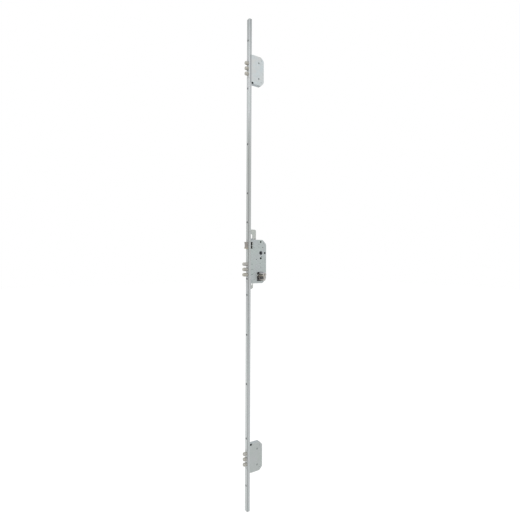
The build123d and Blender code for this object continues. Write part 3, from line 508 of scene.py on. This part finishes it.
@dataclass
class Studio:
    """White surroundings, a pale floor and soft lamps."""

    floor_size: float = 14.0
    soft_light: float = 0.8
    floor_grey: float = 0.92
    floor_roughness: float = 0.9
    floor_white: float = 1.08
    shadow_share: float = 0.12
    white: tuple[float, ...] = (1.0, 1.0, 1.0, 1.0)
    lamps: tuple[Lamp, ...] = (
        Lamp("key", (-2.4, -2.2, 2.2), 46.0, 3.4),
        Lamp("low_front", (-2.7, -1.5, -0.2), 14.5, 2.4),
        Lamp("back", (1.8, 2.8, 1.6), 22.0, 3.0),
    )

    def build(self, low: float) -> None:
        """Make the floor at the height of the lock's lower end, the lamps and the world."""
        mesh = bpy.data.meshes.new("floor")
        s = self.floor_size
        mesh.from_pydata([(-s, -s, low), (s, -s, low), (s, s, low), (-s, s, low)], [], [(0, 1, 2, 3)])
        floor = add_object("floor", mesh)
        mesh.materials.append(self.floor_material())
        floor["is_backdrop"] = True
        for lamp in self.lamps:
            lamp.build()
        self.build_world()

    def build_world(self) -> None:
        """White for the camera and for reflections, softer for the light on the lock."""
        world = bpy.data.worlds.new("studio")
        world.use_nodes = True
        sheet = NodeSheet(world.node_tree)
        soft = sheet.add("ShaderNodeBackground", Strength=self.soft_light, Color=self.white)
        white = sheet.add("ShaderNodeBackground", Color=self.white)
        path = sheet.add("ShaderNodeLightPath")
        seen = sheet.add("ShaderNodeMath", (path, "Is Camera Ray"), (path, "Is Glossy Ray"),
                         operation="MAXIMUM")
        sheet.add("ShaderNodeOutputWorld", sheet.add("ShaderNodeMixShader", seen, soft, white))
        bpy.context.scene.world = world

    def floor_material(self) -> Material:
        """White floor that fades into the white background and keeps shadows."""
        g = Graph("floor")
        g.feed(g.shader, "Roughness", self.floor_roughness)
        g.feed(g.shader, "Base Color", (self.floor_grey,) * 3 + (1.0,))
        glow = g.add("ShaderNodeEmission", Strength=self.floor_white)
        pale = g.add("ShaderNodeMixShader", 1.0 - self.shadow_share, g.shader, glow)
        path = g.add("ShaderNodeLightPath")
        mix = g.add("ShaderNodeMixShader", (path, "Is Camera Ray"), g.shader, pale)
        g.feed(g.output, "Surface", mix)
        return g.material


@dataclass
class FinishSet:
    """The finish of every CAD node, with painted shade on the insides of hollow ones."""

    made: dict[str, Material] = field(default_factory=dict)
    wall_y: Pair = (-8.44, -7.34)
    wall_soft: float = 0.03

    def __post_init__(self) -> None:
        """Make the finishes by material slot, then those of single nodes."""
        slots = {slot: finish.build(name) for slot, (name, finish) in BY_SLOT.items()}
        for part in frame["record"]["subparts"]:
            self.made[part["node"]] = slots[part["material_slot"]]
        case = ZINC.build("main_case_zinc", self.case_regions())
        self.made.update({"main_case": case, "main_cover": case})
        for look in BOX_LOOKS:
            box = look.build()
            self.made.update({look.label + "_box_case": box, look.label + "_box_cover": box})
        for node, (name, finish, regions) in OWN_FINISH.items():
            self.made[node] = finish.build(name, regions)

    def case_regions(self) -> tuple[Region, ...]:
        """Painted shade inside the main case, painted light in its window, a painted shadow in the
        crease and black painted shadow on the walls of its holes.
        """
        middle = (CASE_TOP + CASE_BOTTOM) / 2
        inside = Region.case_inside_shade(middle, CASE_TOP - middle, CASE_REAR, CASE_CHAMFER)
        near, deep = self.wall_y
        # Black painted shadow on the hole walls of the near plate.
        hole_wall_shadows = [Region.block((x - r, near, z - r), (x + r, deep, z + r), 1.0, self.wall_soft, SHADOW_BLACK)
                 for x, z, r in CASE_HOLES]
        return (inside, WINDOW_LIGHT, CREASE_SHADOW, *hole_wall_shadows)

    def dress_plain(self) -> None:
        """Give the CAD nodes themselves their finishes, also where a piece stands for them."""
        for node, obj in frame["nodes"].items():
            if not obj.material_slots:
                obj.data.materials.append(self.made[node])
            for slot in obj.material_slots:
                slot.material = self.made[node]


class Shape:
    """A mesh in the making, in millimetres until it becomes a piece."""

    def __init__(self) -> None:
        """Start with nothing."""
        self.bm = bmesh.new()

    def load(self, mesh: Mesh) -> "Shape":
        """Take a mesh in metres and merge its loose triangles."""
        self.bm.clear()
        self.bm.from_mesh(mesh)
        bmesh.ops.scale(self.bm, vec=(1 / MM,) * 3, verts=self.bm.verts)
        bmesh.ops.remove_doubles(self.bm, verts=self.bm.verts, dist=MERGE)
        return self

    @classmethod
    def turned(cls, profile: Iterable[Pair], axis: Axis, centre: Pair = (0.0, 0.0),
               steps: int = 40) -> "Shape":
        """Turn a profile about an axis.

        Args:
            profile: places along the axis with their radii, closed by the axis itself.
            axis: the axis that it is turned about.
            centre: where the axis lies in the other two directions.
            steps: number of sides.

        Returns:
            The closed shape.
        """
        shape = cls()
        rings = []
        for along, radius in profile:
            if radius < MERGE:
                rings.append([shape.bm.verts.new(axis.point(along, centre[0], centre[1]))])
                continue
            ring = []
            for i in range(steps):
                angle = 2 * math.pi * i / steps
                a = centre[0] + radius * math.cos(angle)
                b = centre[1] + radius * math.sin(angle)
                ring.append(shape.bm.verts.new(axis.point(along, a, b)))
            rings.append(ring)
        for a, b in zip(rings, rings[1:]):
            shape.bridge(a, b, steps)
        bmesh.ops.recalc_face_normals(shape.bm, faces=shape.bm.faces)
        return shape

    def bridge(self, a: list[bmesh.types.BMVert], b: list[bmesh.types.BMVert], steps: int) -> None:
        """Join two rings, either of which may be a single point on the axis."""
        for i in range(steps):
            j = (i + 1) % steps
            corners = [a[i % len(a)], a[j % len(a)], b[j % len(b)], b[i % len(b)]]
            seen = []
            for corner in corners:
                if corner not in seen:
                    seen.append(corner)
            if len(seen) > 2:
                self.bm.faces.new(seen)

    @classmethod
    def block(cls, low: Point, high: Point) -> "Shape":
        """Bar between two corners."""
        shape = cls()
        made = bmesh.ops.create_cube(shape.bm, size=1.0)["verts"]
        size = [h - l for l, h in zip(low, high)]
        middle = [(h + l) / 2 for l, h in zip(low, high)]
        bmesh.ops.scale(shape.bm, vec=size, verts=made)
        bmesh.ops.translate(shape.bm, vec=middle, verts=made)
        return shape

    def mesh(self, name: str, smooth: float = SMOOTH_ANGLE) -> Mesh:
        """Make a mesh in metres, smooth but for its real edges."""
        mesh = bpy.data.meshes.new(name)
        self.bm.to_mesh(mesh)
        mesh.transform(Matrix.Scale(MM, 4))
        mesh.shade_smooth()
        mesh.set_sharp_from_angle(angle=math.radians(smooth))
        return mesh

    def flat_mesh(self, name: str) -> Mesh:
        """Make a mesh in metres whose flat faces stay flat up to their rounded edges."""
        mesh = self.mesh(name, BEND_ANGLE)
        model = add_object(name, mesh)
        modifier = model.modifiers.new("flat_faces", "WEIGHTED_NORMAL")
        modifier.keep_sharp = True
        modifier.weight = FLAT_WEIGHT
        result = baked(model)
        bpy.data.objects.remove(model)
        bpy.data.meshes.remove(mesh)
        return result

    def combine(self, other: "Shape", operation: Joining) -> "Shape":
        """Join another shape to this one, or cut it away.

        Args:
            other: the other shape.
            operation: how the two are combined.

        Returns:
            This shape, changed.
        """
        mesh_a, mesh_b = self.mesh("stock"), other.mesh("tool")
        stock, tool = add_object("stock", mesh_a), add_object("tool", mesh_b)
        modifier = stock.modifiers.new("combine", "BOOLEAN")
        modifier.operation = operation.value
        modifier.solver = "EXACT"
        modifier.object = tool
        result = baked(stock)
        self.load(result)
        for obj in (stock, tool):
            bpy.data.objects.remove(obj)
        for mesh in (mesh_a, mesh_b, result):
            bpy.data.meshes.remove(mesh)
        return self

    def soften(self, width: float, segments: int = 2) -> "Shape":
        """Round the real edges by a small radius, as deburring or plating leaves them."""
        bm = self.bm
        flat = math.radians(FLAT_ANGLE)
        bmesh.ops.dissolve_limit(bm, angle_limit=flat, verts=bm.verts, edges=bm.edges)
        least = math.radians(SMOOTH_ANGLE)
        sharp = [e for e in bm.edges if e.is_manifold and e.calc_face_angle(0.0) > least]
        bmesh.ops.bevel(bm, geom=sharp, offset=width, offset_type="OFFSET", segments=segments,
                        profile=0.5, affect="EDGES", clamp_overlap=False)
        bmesh.ops.remove_doubles(bm, verts=bm.verts, dist=MERGE)
        bmesh.ops.triangulate(bm, faces=[f for f in bm.faces if len(f.verts) > 4])
        return self


class NodeRecipe(NodeSheet):
    """A Geometry Nodes tree with named inputs, run once to give a plain mesh."""

    def __init__(self, name: str) -> None:
        """Start a tree that takes and gives geometry."""
        super().__init__(bpy.data.node_groups.new(name, "GeometryNodeTree"))
        self.sockets: dict[str, str] = {}
        self.take("NodeSocketGeometry", "Geometry")
        self.tree.interface.new_socket(name="Geometry", in_out="OUTPUT",
                                       socket_type="NodeSocketGeometry")
        self.given = self.add("NodeGroupInput")

    def take(self, kind: str, *names: str) -> None:
        """Add named inputs of a kind."""
        for name in names:
            socket = self.tree.interface.new_socket(name=name, in_out="INPUT", socket_type=kind)
            self.sockets[name] = socket.identifier

    def end(self, last: Node) -> None:
        """Close the tree with real meshes in their finish."""
        self.take("NodeSocketMaterial", "Finish")
        real = self.add("GeometryNodeRealizeInstances", last)
        finish = self.add("GeometryNodeSetMaterial", real, Material=(self.given, "Finish"))
        self.add("NodeGroupOutput", finish)

    def run(self, start: Mesh, **values: object) -> Mesh:
        """Run the tree on a start mesh.

        Args:
            start: the mesh that goes in.
            values: the named inputs, with underscores for spaces.

        Returns:
            The plain mesh that comes out.
        """
        obj = add_object("recipe", start)
        modifier = obj.modifiers.new("recipe", "NODES")
        modifier.node_group = self.tree
        for key, value in values.items():
            modifier[self.sockets[key.replace("_", " ")]] = value
        mesh = baked(obj)
        obj.modifiers.remove(modifier)
        bpy.data.objects.remove(obj)
        bpy.data.meshes.remove(start)
        mesh.shade_smooth()
        mesh.set_sharp_from_angle(angle=math.radians(SMOOTH_ANGLE))
        return mesh


class FastenerRecipe(NodeRecipe):
    """Sets one fastener on each of a mesh's points, each turned by chance about its axis."""

    def __init__(self) -> None:
        """Build the tree."""
        super().__init__("fasteners_on_points")
        self.take("NodeSocketObject", "Fastener")
        self.take("NodeSocketVector", "Axis")
        self.take("NodeSocketFloat", "Turn")
        self.take("NodeSocketInt", "Seed")
        chance = self.add("FunctionNodeRandomValue", data_type="FLOAT", Seed=(self.given, "Seed"))
        self.feed(chance, RANDOM_MAX, (self.given, "Turn"))
        turned = self.add("ShaderNodeVectorMath", (self.given, "Axis"), operation="SCALE",
                          Scale=(chance, 1))
        points = self.add("GeometryNodeMeshToPoints", Mesh=(self.given, "Geometry"))
        info = self.add("GeometryNodeObjectInfo", Object=(self.given, "Fastener"))
        self.end(self.add("GeometryNodeInstanceOnPoints", Points=points, Instance=(info, "Geometry"),
                          Rotation=turned))


class SpringRecipe(NodeRecipe):
    """A wound spring along Z whose end turns lie closer than the others."""

    steps_per_turn = 36
    wire_sides = 10

    def __init__(self) -> None:
        """Build the tree."""
        super().__init__("wound_spring")
        self.take("NodeSocketFloat", "Turns", "Coil Radius", "Wire Radius", "Height")
        self.take("NodeSocketVector", "Place", "Tilt")
        radius, height = (self.given, "Coil Radius"), (self.given, "Height")
        line = self.add("GeometryNodeCurveSpiral", Resolution=self.steps_per_turn,
                        Rotations=(self.given, "Turns"), Start_Radius=radius, End_Radius=radius,
                        Height=height)
        parts = self.add("ShaderNodeSeparateXYZ", self.add("GeometryNodeInputPosition"))
        eased = self.add("ShaderNodeMapRange", interpolation_type="SMOOTHSTEP",
                         Value=(parts, "Z"), From_Max=height, To_Max=height)
        place = self.add("ShaderNodeCombineXYZ", (parts, "X"), (parts, "Y"), eased)
        moved = self.add("GeometryNodeSetPosition", line, Position=place)
        section = self.add("GeometryNodeCurvePrimitiveCircle", Resolution=self.wire_sides,
                           Radius=(self.given, "Wire Radius"))
        wire = self.add("GeometryNodeCurveToMesh", moved, section, Fill_Caps=True)
        self.end(self.add("GeometryNodeTransform", wire, Translation=(self.given, "Place"),
                          Rotation=(self.given, "Tilt")))


@dataclass
class Workshop:
    """Makes pieces of the shapes in their finish and sets them on the CAD bodies."""

    finishes: FinishSet = field(default_factory=FinishSet)
    fasteners: FastenerRecipe = field(default_factory=FastenerRecipe)
    body_of: dict[str, str] = field(default_factory=dict)
    slot_of: dict[str, str] = field(default_factory=dict)
    count: int = 0

    def __post_init__(self) -> None:
        """Read bodies and slots of the CAD nodes from the frame's record."""
        for body, nodes in frame["record"]["behaviour"]["bodies"].items():
            self.body_of.update({node: body for node in nodes})
        for part in frame["record"]["subparts"]:
            self.slot_of[part["node"]] = part["material_slot"]

    def spread(self, node: str, fastener: Shape, spots: Iterable[Pair], axis: Axis, turn: float,
               seed: int) -> Mesh:
        """Set copies of a fastener at places, in the finish of a CAD node.

        Args:
            node: the CAD node.
            fastener: the fastener around the origin.
            spots: X and Z of each copy, in millimetres.
            axis: the fastener's own axis.
            turn: largest turn about it, in radians.
            seed: seed of the turns.

        Returns:
            One mesh with every copy.
        """
        model = add_object("fastener", fastener.mesh("fastener"))
        points = bpy.data.meshes.new("places")
        points.from_pydata([(x * MM, 0.0, z * MM) for x, z in spots], [], [])
        mesh = self.fasteners.run(points, Fastener=model, Axis=tuple(axis.point(1.0, 0.0, 0.0)),
                                  Turn=turn, Seed=seed, Finish=self.finishes.made[node])
        bpy.data.objects.remove(model)
        return mesh

    def place(self, mesh: Mesh, ending: str, *nodes: str) -> Object:
        """Make a piece of a mesh that stands for one or more CAD nodes of one body.

        Args:
            mesh: its mesh, in place and in metres.
            ending: what follows the first node's name in its own.
            nodes: the CAD nodes that it stands for.

        Returns:
            The piece.
        """
        mesh.name = f"{nodes[0]}_{ending}"
        mesh.materials.clear()
        mesh.materials.append(self.finishes.made[nodes[0]])
        piece = add_object(mesh.name, mesh)
        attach(piece, self.body_of[nodes[0]])
        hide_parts(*nodes)
        self.count += 1
        LOG.info("%s: %d faces on %s", mesh.name, len(mesh.polygons), self.body_of[nodes[0]])
        return piece


@dataclass
class EdgedNodes:
    """Sheet parts, bars and cast parts: the CAD forms with the fine edges of the real pieces."""

    widths: tuple[tuple[float, tuple[str, ...]], ...] = (
        (0.08, ("drive_wheel", "cylinder_gear")),
        (0.15, ("latch_guide", "bolt_carriage", "upper_bolt_strip", "lower_bolt_strip",
                "cylinder_near_plug", "cylinder_far_plug", "upper_rod_rivets", "lower_rod_rivets")),
        (0.2, ("forend_channel", "upper_drive_plate", "lower_drive_plate", "latch_tail", "latch_pin",
               "upper_link_pin", "lower_link_pin", "upper_drive_pins", "lower_drive_pins")),
        (0.22, ("main_case", "main_cover", "upper_box_case", "upper_box_cover", "lower_box_case",
                "lower_box_cover")),
        (0.25, ("upper_link_plate", "lower_link_plate")),
        (0.3, ("upper_rod", "lower_rod", "rod_guides", "cylinder_body")),
        (0.35, ("latch_head", "follower")),
    )

    def build(self, shop: Workshop) -> None:
        """Make and dress each of them."""
        for width, nodes in self.widths:
            for node in nodes:
                shape = Shape().load(frame["nodes"][node].data).soften(width)
                shop.place(shape.flat_mesh(node), "edged", node)


@dataclass
class RoundBolts:
    """The nine round bolts, turned with a domed tip, each with a flat tongue behind."""

    radius: float = 7.0
    main_tip: float = -79.6
    box_tip: float = -73.6
    rear: float = -52.0
    dome: float = 4.6
    bluntness: float = 0.75
    dome_steps: int = 12
    rear_chamfer: float = 0.5
    tongue_low: Point = (-54.0, -2.9, -5.0)
    tongue_high: Point = (-42.5, 3.5, 5.0)
    tongue_edge: float = 0.3
    rivet_radius: float = 2.0
    rivet_reach: float = 9.0
    sides: int = 56
    rivet_sides: int = 24
    most_turn: float = 0.0
    seed: int = 1

    def shape(self, tip: float) -> Shape:
        """One bolt at height zero.

        Args:
            tip: where its tip lies along X.

        Returns:
            The bolt with its tongue.
        """
        profile = []
        for i in range(self.dome_steps + 1):
            angle = math.pi / 2 * i / self.dome_steps
            width = self.radius * math.sin(angle) ** self.bluntness
            profile.append((tip + self.dome * (1 - math.cos(angle)), width))
        chamfer = self.rear_chamfer
        profile += [(self.rear - chamfer, self.radius), (self.rear, self.radius - chamfer),
                    (self.rear, 0.0)]
        bolt = Shape.turned(profile, Axis.X, steps=self.sides)
        tongue = Shape.block(self.tongue_low, self.tongue_high).soften(self.tongue_edge)
        bolt.combine(tongue, Joining.JOIN)
        reach, radius = self.rivet_reach, self.rivet_radius
        profile = [(-reach, 0.0), (-reach, radius), (reach, radius), (reach, 0.0)]
        hole = Shape.turned(profile, Axis.Y, (BOLT_RIVET_X, 0.0), self.rivet_sides)
        return bolt.combine(hole, Joining.CUT)

    def build(self, shop: Workshop) -> None:
        """Make the bolts of the case and of both boxes."""
        main, box = self.shape(self.main_tip), self.shape(self.box_tip)
        groups = [("main_bolt_" + name, main, [z])
                  for name, z in zip(("top", "middle", "bottom"), three(MAIN_BOLT_Z))]
        groups += [(look.label + "_box_bolts", box, three(look.middle)) for look in BOX_LOOKS]
        for node, shape, heights in groups:
            spots = [(0.0, z) for z in heights]
            mesh = shop.spread(node, shape, spots, Axis.X, self.most_turn, self.seed)
            shop.place(mesh, "turned", node)


@dataclass
class Screws:
    """Countersunk screws of the cases and of the cylinder, with a cross recess."""

    shank: float = 1.9
    end: float = -52.5
    rim: float = 1.6
    dish: float = 0.12
    dish_share: float = 0.4
    crown: Pair = (0.04, 0.2)
    rim_depth: float = 0.25
    neck: float = 0.1
    cylinder_shank: float = 2.5
    cylinder_end: float = 4.2
    cylinder_z: float = -102.0
    wing: float = 0.75
    wing_share: float = 0.62
    recess: float = 1.0
    box_offset: float = 35.2
    case_heights: Pair = (47.9, -114.5)
    pitch: float = 0.7
    thread: float = 0.22
    thread_ends: Pair = (0.6, 1.2)
    point: float = 0.8
    point_share: float = 0.6
    sides: int = 32
    most_turn: float = 2.0
    case_seed: int = 7
    cylinder_seed: int = 3

    def shape(self, shank: float, end: float) -> Shape:
        """A screw along X at height zero, its head flush in the face.

        Args:
            shank: radius of the shank.
            end: where its point lies along X.

        Returns:
            The screw.
        """
        head, root = shank + self.rim, shank - self.thread
        drop, inset = self.crown
        profile = [(X_FACE + self.dish, 0.0), (X_FACE, head * self.dish_share),
                   (X_FACE + drop, head - inset), (X_FACE + self.rim_depth, head),
                   (X_WEB, shank + self.neck)]
        start, stop = self.thread_ends
        x = X_WEB + start
        while x < end - stop:
            profile += [(x, root), (x + self.pitch / 2, shank)]
            x += self.pitch
        profile += [(end - self.point, root), (end, shank * self.point_share), (end, 0.0)]
        screw = Shape.turned(profile, Axis.X, steps=self.sides)
        reach, half = head * self.wing_share, self.wing / 2
        for y, z in ((half, reach), (reach, half)):
            wing = Shape.block((X_FACE - self.recess, -y, -z), (X_FACE + self.recess, y, z))
            screw.combine(wing, Joining.CUT)
        return screw

    def build(self, shop: Workshop) -> None:
        """Make the six case screws and the cylinder screw."""
        heights = [c + s * self.box_offset for c in BOX_HEIGHTS for s in (-1, 1)]
        heights += list(self.case_heights)
        case = self.shape(self.shank, self.end)
        long = self.shape(self.cylinder_shank, self.cylinder_end)
        for node, shape, places, seed in (
                ("case_screws", case, heights, self.case_seed),
                ("cylinder_screw", long, [self.cylinder_z], self.cylinder_seed)):
            spots = [(0.0, z) for z in places]
            mesh = shop.spread(node, shape, spots, Axis.X, self.most_turn, seed)
            shop.place(mesh, "crossed", node)


@dataclass
class StakedPosts:
    """Posts, studs and rivets whose ends are staked in the plates, all turned about Y."""

    tenon: float = 1.6
    proud: float = 0.22
    dimple: float = 0.7
    dimple_depth: float = 0.25
    dimple_edge: Pair = (0.02, 0.25)
    shoulder: Pair = (0.06, 0.2)
    sunk: float = 0.02
    post_edge: float = 0.15
    edge: float = 0.2
    sides: int = 32
    wheel_z: float = -56.875
    post_radius: float = 2.5
    tail_radius: float = 2.0
    axle_radius: float = 3.0
    stud_radius: float = 2.0
    stud_reach: Pair = (-2.5, -5.2)
    case_posts: Pairs = (
        (13.0, 40.0), (18.5, -98.0), (-46.0, 47.3), (0.0, -115.6), (21.0, -26.0))
    tail_posts: Pairs = ((-9.6, 34.6), (-9.6, 23.2))
    long_studs: Pairs = ((-2.0, -41.6),)
    short_studs: Pairs = ((-31.25, 20.0), (-40.7, -111.5))
    box_post: Pair = (-2.0, 43.5)
    box_rivet: Pair = (-14.0, 31.2)
    cap: Pairs = (
        (0.75, 0.0), (0.88, 0.6), (0.9, 1.2), (0.8, 2.2), (0.5, 3.0), (0.12, 3.5), (0.0, 3.55))
    cap_sides: int = 40
    rivet_ends: Pair = (-4.9, 3.5)
    rivet_radius: float = 2.0
    head_side: float = 0.3
    head_curve: Pairs = ((0.64, 2.55), (0.8, 1.36), (0.8, 0.0))
    head_radius: float = 3.4
    leg_rivet: tuple[float, float, float] = (-28.5, 55.0, 1.8)
    leg_dimple: Pairs = ((0.2, 0.0), (0.15, 0.6), (0.0, 0.9))
    leg_edge: float = 0.1
    leg_sides: int = 28
    link_sides: Pair = (-7.0, -5.3)

    def end(self, side: int) -> list[Pair]:
        """Profile of a staked end from the axis outwards: dimple, then a slightly raised rim."""
        y = Y_PLATE + self.proud
        sunk, width = self.dimple_edge
        drop, inset = self.shoulder
        points = [(y - self.dimple_depth, 0.0), (y - sunk, self.dimple), (y, self.dimple + width),
                  (y - drop, self.tenon - inset), (Y_PLATE - self.sunk, self.tenon)]
        return [(side * p, r) for p, r in points]

    def post(self, radius: float) -> Shape:
        """Spacer with a staked tenon at both ends."""
        edge = self.post_edge
        near = self.end(-1) + [(-Y_INSIDE, self.tenon), (-Y_INSIDE, radius - edge),
                               (-Y_INSIDE + edge, radius)]
        far = [(-y, r) for y, r in reversed(near)]
        return Shape.turned(near + far, Axis.Y, steps=self.sides)

    def stud(self, reach: float) -> Shape:
        """Stud staked in the near plate only."""
        radius, edge = self.stud_radius, self.edge
        points = self.end(-1) + [(-Y_INSIDE, self.tenon), (-Y_INSIDE, radius), (reach - edge, radius),
                                 (reach, radius - edge), (reach, 0.0)]
        return Shape.turned(points, Axis.Y, steps=self.sides)

    def cap_post(self) -> Shape:
        """Box post with a riveted cap on the near side."""
        cap = [(-Y_PLATE - height, radius) for height, radius in self.cap] + [(-Y_PLATE, self.tenon)]
        body = [(-Y_INSIDE, self.tenon), (-Y_INSIDE, self.post_radius), (Y_INSIDE, self.post_radius),
                (Y_INSIDE, self.tenon)]
        return Shape.turned(cap + body + list(reversed(self.end(1))), Axis.Y, steps=self.cap_sides)

    def bolt_rivets(self, middle: float) -> tuple[Shape, list[Pair]]:
        """Rivet through a bolt's tongue and its strip, its domed head far, and its three places."""
        low, top = self.rivet_ends
        radius, edge = self.rivet_radius, self.edge
        points = [(low, 0.0), (low, radius - edge), (low + edge, radius), (top, radius),
                  (top, self.head_radius), (top + self.head_side, self.head_radius)]
        points += [(top + height, width) for height, width in self.head_curve]
        spots = [(BOLT_RIVET_X, z) for z in three(middle)]
        return Shape.turned(points, Axis.Y, steps=self.sides), spots

    def groups(self) -> list[tuple[str, list[tuple[Shape, Iterable[Pair]]]]]:
        """Each CAD node with its shapes and the places that they go to, as X and Z."""
        long, short = (self.stud(reach) for reach in self.stud_reach)
        groups = [
            ("main_case_posts", [(self.post(self.post_radius), self.case_posts)]),
            ("latch_guide_posts", [(self.post(self.tail_radius), self.tail_posts)]),
            ("gear_axle", [(self.post(self.axle_radius), ((0.0, self.wheel_z),))]),
            ("guide_studs", [(long, self.long_studs), (short, self.short_studs)]),
            ("main_bolt_rivets", [self.bolt_rivets(MAIN_BOLT_Z)]),
        ]
        for look in BOX_LOOKS:
            for kind, shape, (x, z) in (("posts", self.post(self.post_radius), self.box_post),
                                        ("rivets", self.cap_post(), self.box_rivet)):
                ends = [(x, look.middle - z), (x, look.middle + z)]
                groups.append((f"{look.label}_box_{kind}", [(shape, ends)]))
            groups.append((look.label + "_bolt_rivets", [self.bolt_rivets(look.middle)]))
        return groups

    def build(self, shop: Workshop) -> None:
        """Make every group, one mesh for each CAD node."""
        for seed, (node, kinds) in enumerate(self.groups()):
            whole = bmesh.new()
            for shape, spots in kinds:
                mesh = shop.spread(node, shape, spots, Axis.Y, math.pi, seed)
                whole.from_mesh(mesh)
                bpy.data.meshes.remove(mesh)
            mesh = bpy.data.meshes.new(node)
            whole.to_mesh(mesh)
            mesh.set_sharp_from_angle(angle=math.radians(SMOOTH_ANGLE))
            shop.place(mesh, "staked", node)
        self.build_leg_rivet(shop.finishes.made["cylinder_gear"])

    def build_leg_rivet(self, material: Material) -> None:
        """Fill the small hole of the upper link's leg with its flush rivet."""
        x, z, radius = self.leg_rivet
        low, high = self.link_sides
        edge = self.leg_edge
        profile = [(low + depth, width) for depth, width in self.leg_dimple]
        profile += [(low, radius - edge), (low + edge, radius), (high - edge, radius),
                    (high, radius - edge), (high, 0.0)]
        mesh = Shape.turned(profile, Axis.Y, (x, z), self.leg_sides).mesh("upper_link_rivet")
        mesh.materials.append(material)
        rivet = add_object("upper_link_rivet", mesh)
        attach(rivet, "upper_link")


@dataclass(frozen=True)
class Coil:
    """A wound spring: the radius of its turns and of its wire, and where its first turn lies."""

    node: str
    radius: float
    wire: float
    length: float
    start: Point
    tilt: float


@dataclass
class Springs:
    """The two wound springs."""

    recipe: SpringRecipe = field(default_factory=SpringRecipe)
    turns: float = 6.0
    latch: Coil = Coil("latch_spring", 4.4, 0.4, 34.0, (-54.6, 0.0, 28.9), math.pi / 2)
    latch_end: float = -21.0
    latch_travel: float = 15.0
    lever: Coil = Coil("follower_spring", 2.3, 0.35, 16.6, (-14.6, 0.0, 4.55), 0.0)
    lever_end: float = 20.8
    lever_keep: float = 0.3

    def build(self, shop: Workshop) -> None:
        """Wind both springs."""
        spring, z, length = self.wind(shop, self.latch), self.latch.start[2], self.latch.length
        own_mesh(spring)
        spring, x = self.wind(shop, self.lever), self.lever.start[0]
        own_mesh(spring)

    def wind(self, shop: Workshop, coil: Coil) -> Object:
        """Wind a spring and set it on the frame, which it leans on at its fixed end."""
        mesh = self.recipe.run(
            bpy.data.meshes.new("start"), Turns=self.turns, Coil_Radius=coil.radius * MM,
            Wire_Radius=coil.wire * MM, Height=(coil.length - 2 * coil.wire) * MM,
            Place=tuple(c * MM for c in coil.start), Tilt=(0.0, coil.tilt, 0.0),
            Finish=shop.finishes.made[coil.node])
        spring = shop.place(mesh, "wound", coil.node)
        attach(spring, "lock_frame")
        return spring


def main() -> None:
    """Build the studio, the camera and every piece."""
    logging.basicConfig(level=logging.INFO)
    bpy.context.scene.view_settings.view_transform = "Standard"
    Studio().build(frame_box[0][2])
    PhotoCamera().build()
    shop = Workshop()
    shop.finishes.dress_plain()
    for maker in (EdgedNodes(), RoundBolts(), Screws(), StakedPosts(), Springs()):
        maker.build(shop)
    LOG.info("%d pieces made", shop.count)
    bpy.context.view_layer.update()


with open("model.json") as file:
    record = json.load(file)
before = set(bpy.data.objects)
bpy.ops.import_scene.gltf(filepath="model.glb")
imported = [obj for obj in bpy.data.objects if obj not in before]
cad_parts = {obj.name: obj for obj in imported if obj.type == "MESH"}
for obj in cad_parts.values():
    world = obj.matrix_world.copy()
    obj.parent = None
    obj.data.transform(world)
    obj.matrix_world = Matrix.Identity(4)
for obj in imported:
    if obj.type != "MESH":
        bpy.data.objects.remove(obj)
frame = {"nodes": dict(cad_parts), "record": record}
frame_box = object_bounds()

if __name__ == "__main__":
    main()
